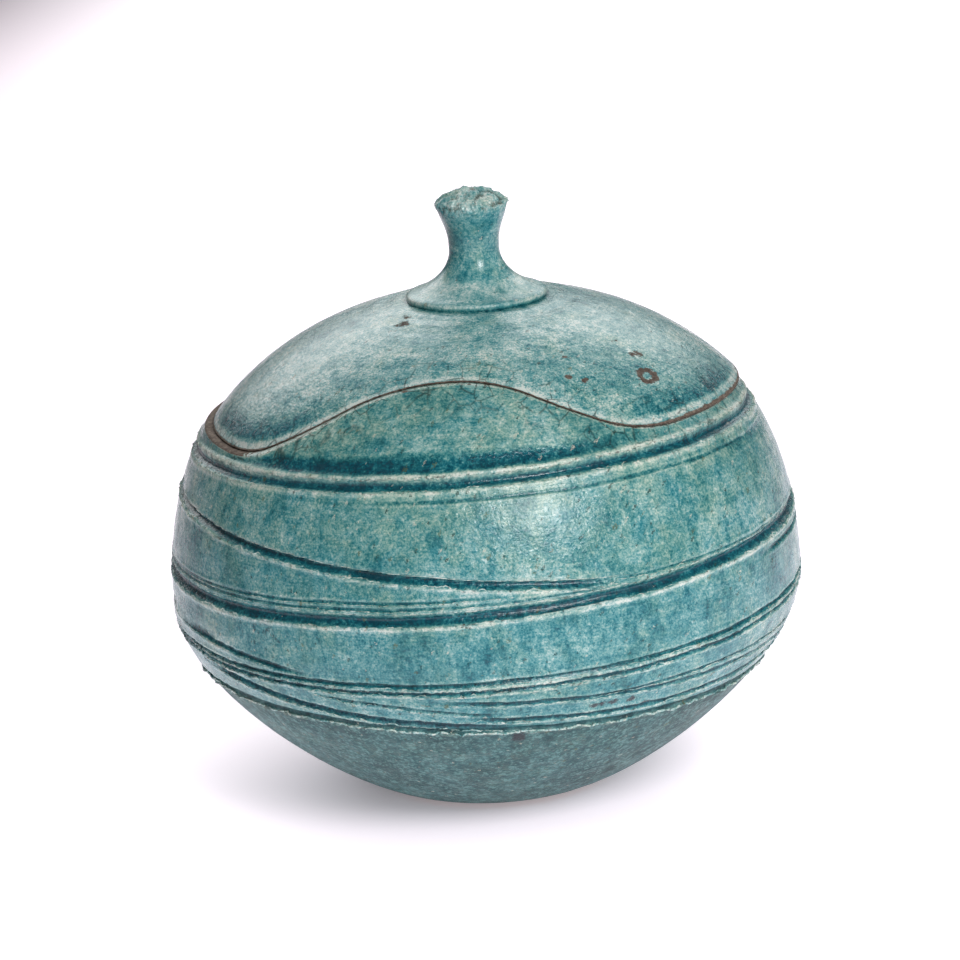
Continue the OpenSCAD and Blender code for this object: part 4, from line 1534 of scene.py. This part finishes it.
# %% Carve and roughen each piece
def run_tree(piece, tree, values):
    """Put a tree on a piece, set its named inputs and keep the result as the piece's mesh."""
    modifier = piece.modifiers.new(tree.name, "NODES")
    modifier.node_group = tree
    for socket in tree.interface.items_tree:
        if socket.in_out == "INPUT" and socket.name in values:
            modifier[socket.identifier] = values[socket.name]
    ready = piece.evaluated_get(bpy.context.evaluated_depsgraph_get())
    mesh = bpy.data.meshes.new_from_object(ready)
    piece.modifiers.remove(modifier)
    piece.data = mesh
    print(piece.name, "after", tree.name, "has", len(mesh.polygons), "faces")


run_tree(jar, carving, {"Depth Factor": 1.0, "Seed": 3.0, "Finish": jar_glaze})
run_tree(jar, grog, {"Lump Height": 0.3, "Chip Depth": 0.0, "Seed": 5.0, "Finish": jar_glaze})

lips = new_object("torn_lips", bpy.data.meshes.new("torn_lips"))
run_tree(lips, lips_tree, {"Skin": jar, "Bead Factor": 1.0, "Seed": 3.0, "Finish": jar_glaze})
run_tree(lid, grog, {"Lump Height": 0.3, "Chip Depth": 0.0, "Seed": 8.0, "Finish": lid_glaze})
run_tree(knob, grog, {"Lump Height": 0.3, "Chip Depth": 1.3, "Seed": 2.0, "Finish": knob_glaze})

# %% Keep within the measured belly
LIMIT_R = BELLY_R - 0.1

for piece in (jar, lips, lid):
    points = np.empty(len(piece.data.vertices) * 3, dtype=np.float32)
    piece.data.vertices.foreach_get("co", points)
    points = points.reshape(-1, 3)
    far = np.linalg.norm(points[:, :2], axis=1) / (LIMIT_R * MM)
    points[:, :2] /= np.maximum(far, 1)[:, None]
    piece.data.vertices.foreach_set("co", points.ravel())
    piece.data.update()
    print(piece.name, "reaches", round(float(far.max()) * LIMIT_R, 2), "mm before it is held in")

# %% [markdown]
# ## Pieces on their bodies
# Each piece stands for its CAD node and rides on that node's body, so the lid lifts with its
# knob and strip. Each row also lists a finish slot, which nothing here reads.

# %% Rides, nodes and slots
for piece, body, node, slot in (
    (jar, "jar", "jar_body", "jar_glaze"),
    (lid, "lid", "lid_dome", "lid_glaze"),
    (knob, "lid", "lid_knob", "knob_glaze"),
    (strip, "lid", "lid_strip", "bare_clay"),
):
    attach(piece, body)
    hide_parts(node)
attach(lips, "jar")
print("five pieces ride on two bodies")

# %% [markdown]
# ## Floor and light
# A product picture of a pot is made on a white sweep that is lit until it is plain white.
# Here a wide plane glows instead, which is painted light, and its glow is dimmed into a painted
# shadow under the jar and into painted shade at its sides. One large soft box stands at the front,
# a little to the right, where its reflection breaks up on the shoulder and shows small and
# square on the neck of the knob. The sweep behind is lit too, on both sides of the jar, and
# its reflection washes the dome and leaves a dark strip down the middle, below the knob.

# %% Floor
FLOOR_SIZE = 12.0

# The paper's glow is painted light in place of a lit sweep, and under the jar, where no lamp reaches it, the
# glow is dimmed into a painted shadow
GLOW_COLOUR = "#fff9ff"
SHADED_MIDDLE = (-0.012, 0.01, 0)
SHADED_R = 0.02
OPEN_R = 0.1
SHADED_GLOW = 0.08
OPEN_GLOW = 0.74
# Painted shade: the glow fades at the left, the right and the front, so that the glaze mirrors something
# dark
FADES = (("X", -0.36, -0.23), ("X", 0.75, 0.3), ("Y", -0.42, -0.25))
FADED_SHARE = 0.1

corners = np.array([(-1, -1, 0), (1, -1, 0), (1, 1, 0), (-1, 1, 0)]) * FLOOR_SIZE / 2
floor = new_piece("white_sweep", corners, [(0, 1, 2, 3)])
paper = bpy.data.materials.new("glowing white paper with painted shade")
paper.use_nodes = True
paper_shader = paper.node_tree.nodes["Principled BSDF"]
paper_shader.inputs["Base Color"].default_value = linear("#ede0e9")
paper_shader.inputs["Roughness"].default_value = 0.9
paper_shader.inputs["Emission Color"].default_value = linear(GLOW_COLOUR)
t = paper.node_tree
place = add(t, "TexCoord").outputs["Object"]
# Painted shadow: the glow is dimmed from the open floor down to the jar's foot
from_jar = add(t, "VectorMath", place, SHADED_MIDDLE, operation="DISTANCE").outputs["Value"]
painted_glow = add(t, "MapRange", from_jar, SHADED_R, OPEN_R, SHADED_GLOW, OPEN_GLOW)
sides = add(t, "SeparateXYZ", place).outputs
# Painted shade: the glow fades towards each side and the front
for axis, dark_at, full_glow_at in FADES:
    painted_fade = add(t, "MapRange", sides[axis], dark_at, full_glow_at, FADED_SHARE, 1.0)
    painted_glow = add(t, "MULTIPLY", painted_glow, painted_fade)
# The painted glow, shadow and shade go into the paper's emission
t.links.new(painted_glow.outputs[0], paper_shader.inputs["Emission Strength"])
floor.data.materials.append(paper)

# %% Lights
# Azimuth and elevation in degrees, distance, width and height in metres, and radiance
SOFT_BOXES = {
    "key box": (22, 33, 1.3, 0.45, 0.45, 19.0),
    "right sweep": (160, 34, 1.7, 0.9, 1.1, 2.0),
    "left sweep": (-160, 32, 1.7, 1.2, 1.1, 2.3),
}
ROOM_STRENGTH = 0.12

for name, (azimuth_deg, elevation_deg, distance_m, width_m, height_m, radiance) in SOFT_BOXES.items():
    a = math.radians(azimuth_deg)
    e = math.radians(elevation_deg)
    way = Vector((math.sin(a) * math.cos(e), -math.cos(a) * math.cos(e), math.sin(e)))
    data = bpy.data.lights.new(name, "AREA")
    data.shape = "RECTANGLE"
    data.size = width_m
    data.size_y = height_m
    data.energy = radiance * math.pi * width_m * height_m
    facing = way.to_track_quat("Z", "Y").to_matrix().to_4x4()
    new_object(name, data).matrix_world = Matrix.Translation(AIM + distance_m * way) @ facing

world = bpy.data.worlds.new("white room")
world.use_nodes = True
world.node_tree.nodes["Background"].inputs["Color"].default_value = (1, 1, 1, 1)
world.node_tree.nodes["Background"].inputs["Strength"].default_value = ROOM_STRENGTH
bpy.context.scene.world = world
bpy.context.scene.view_settings.view_transform = "Standard"
print("a key box and two sweeps in a dim white room")
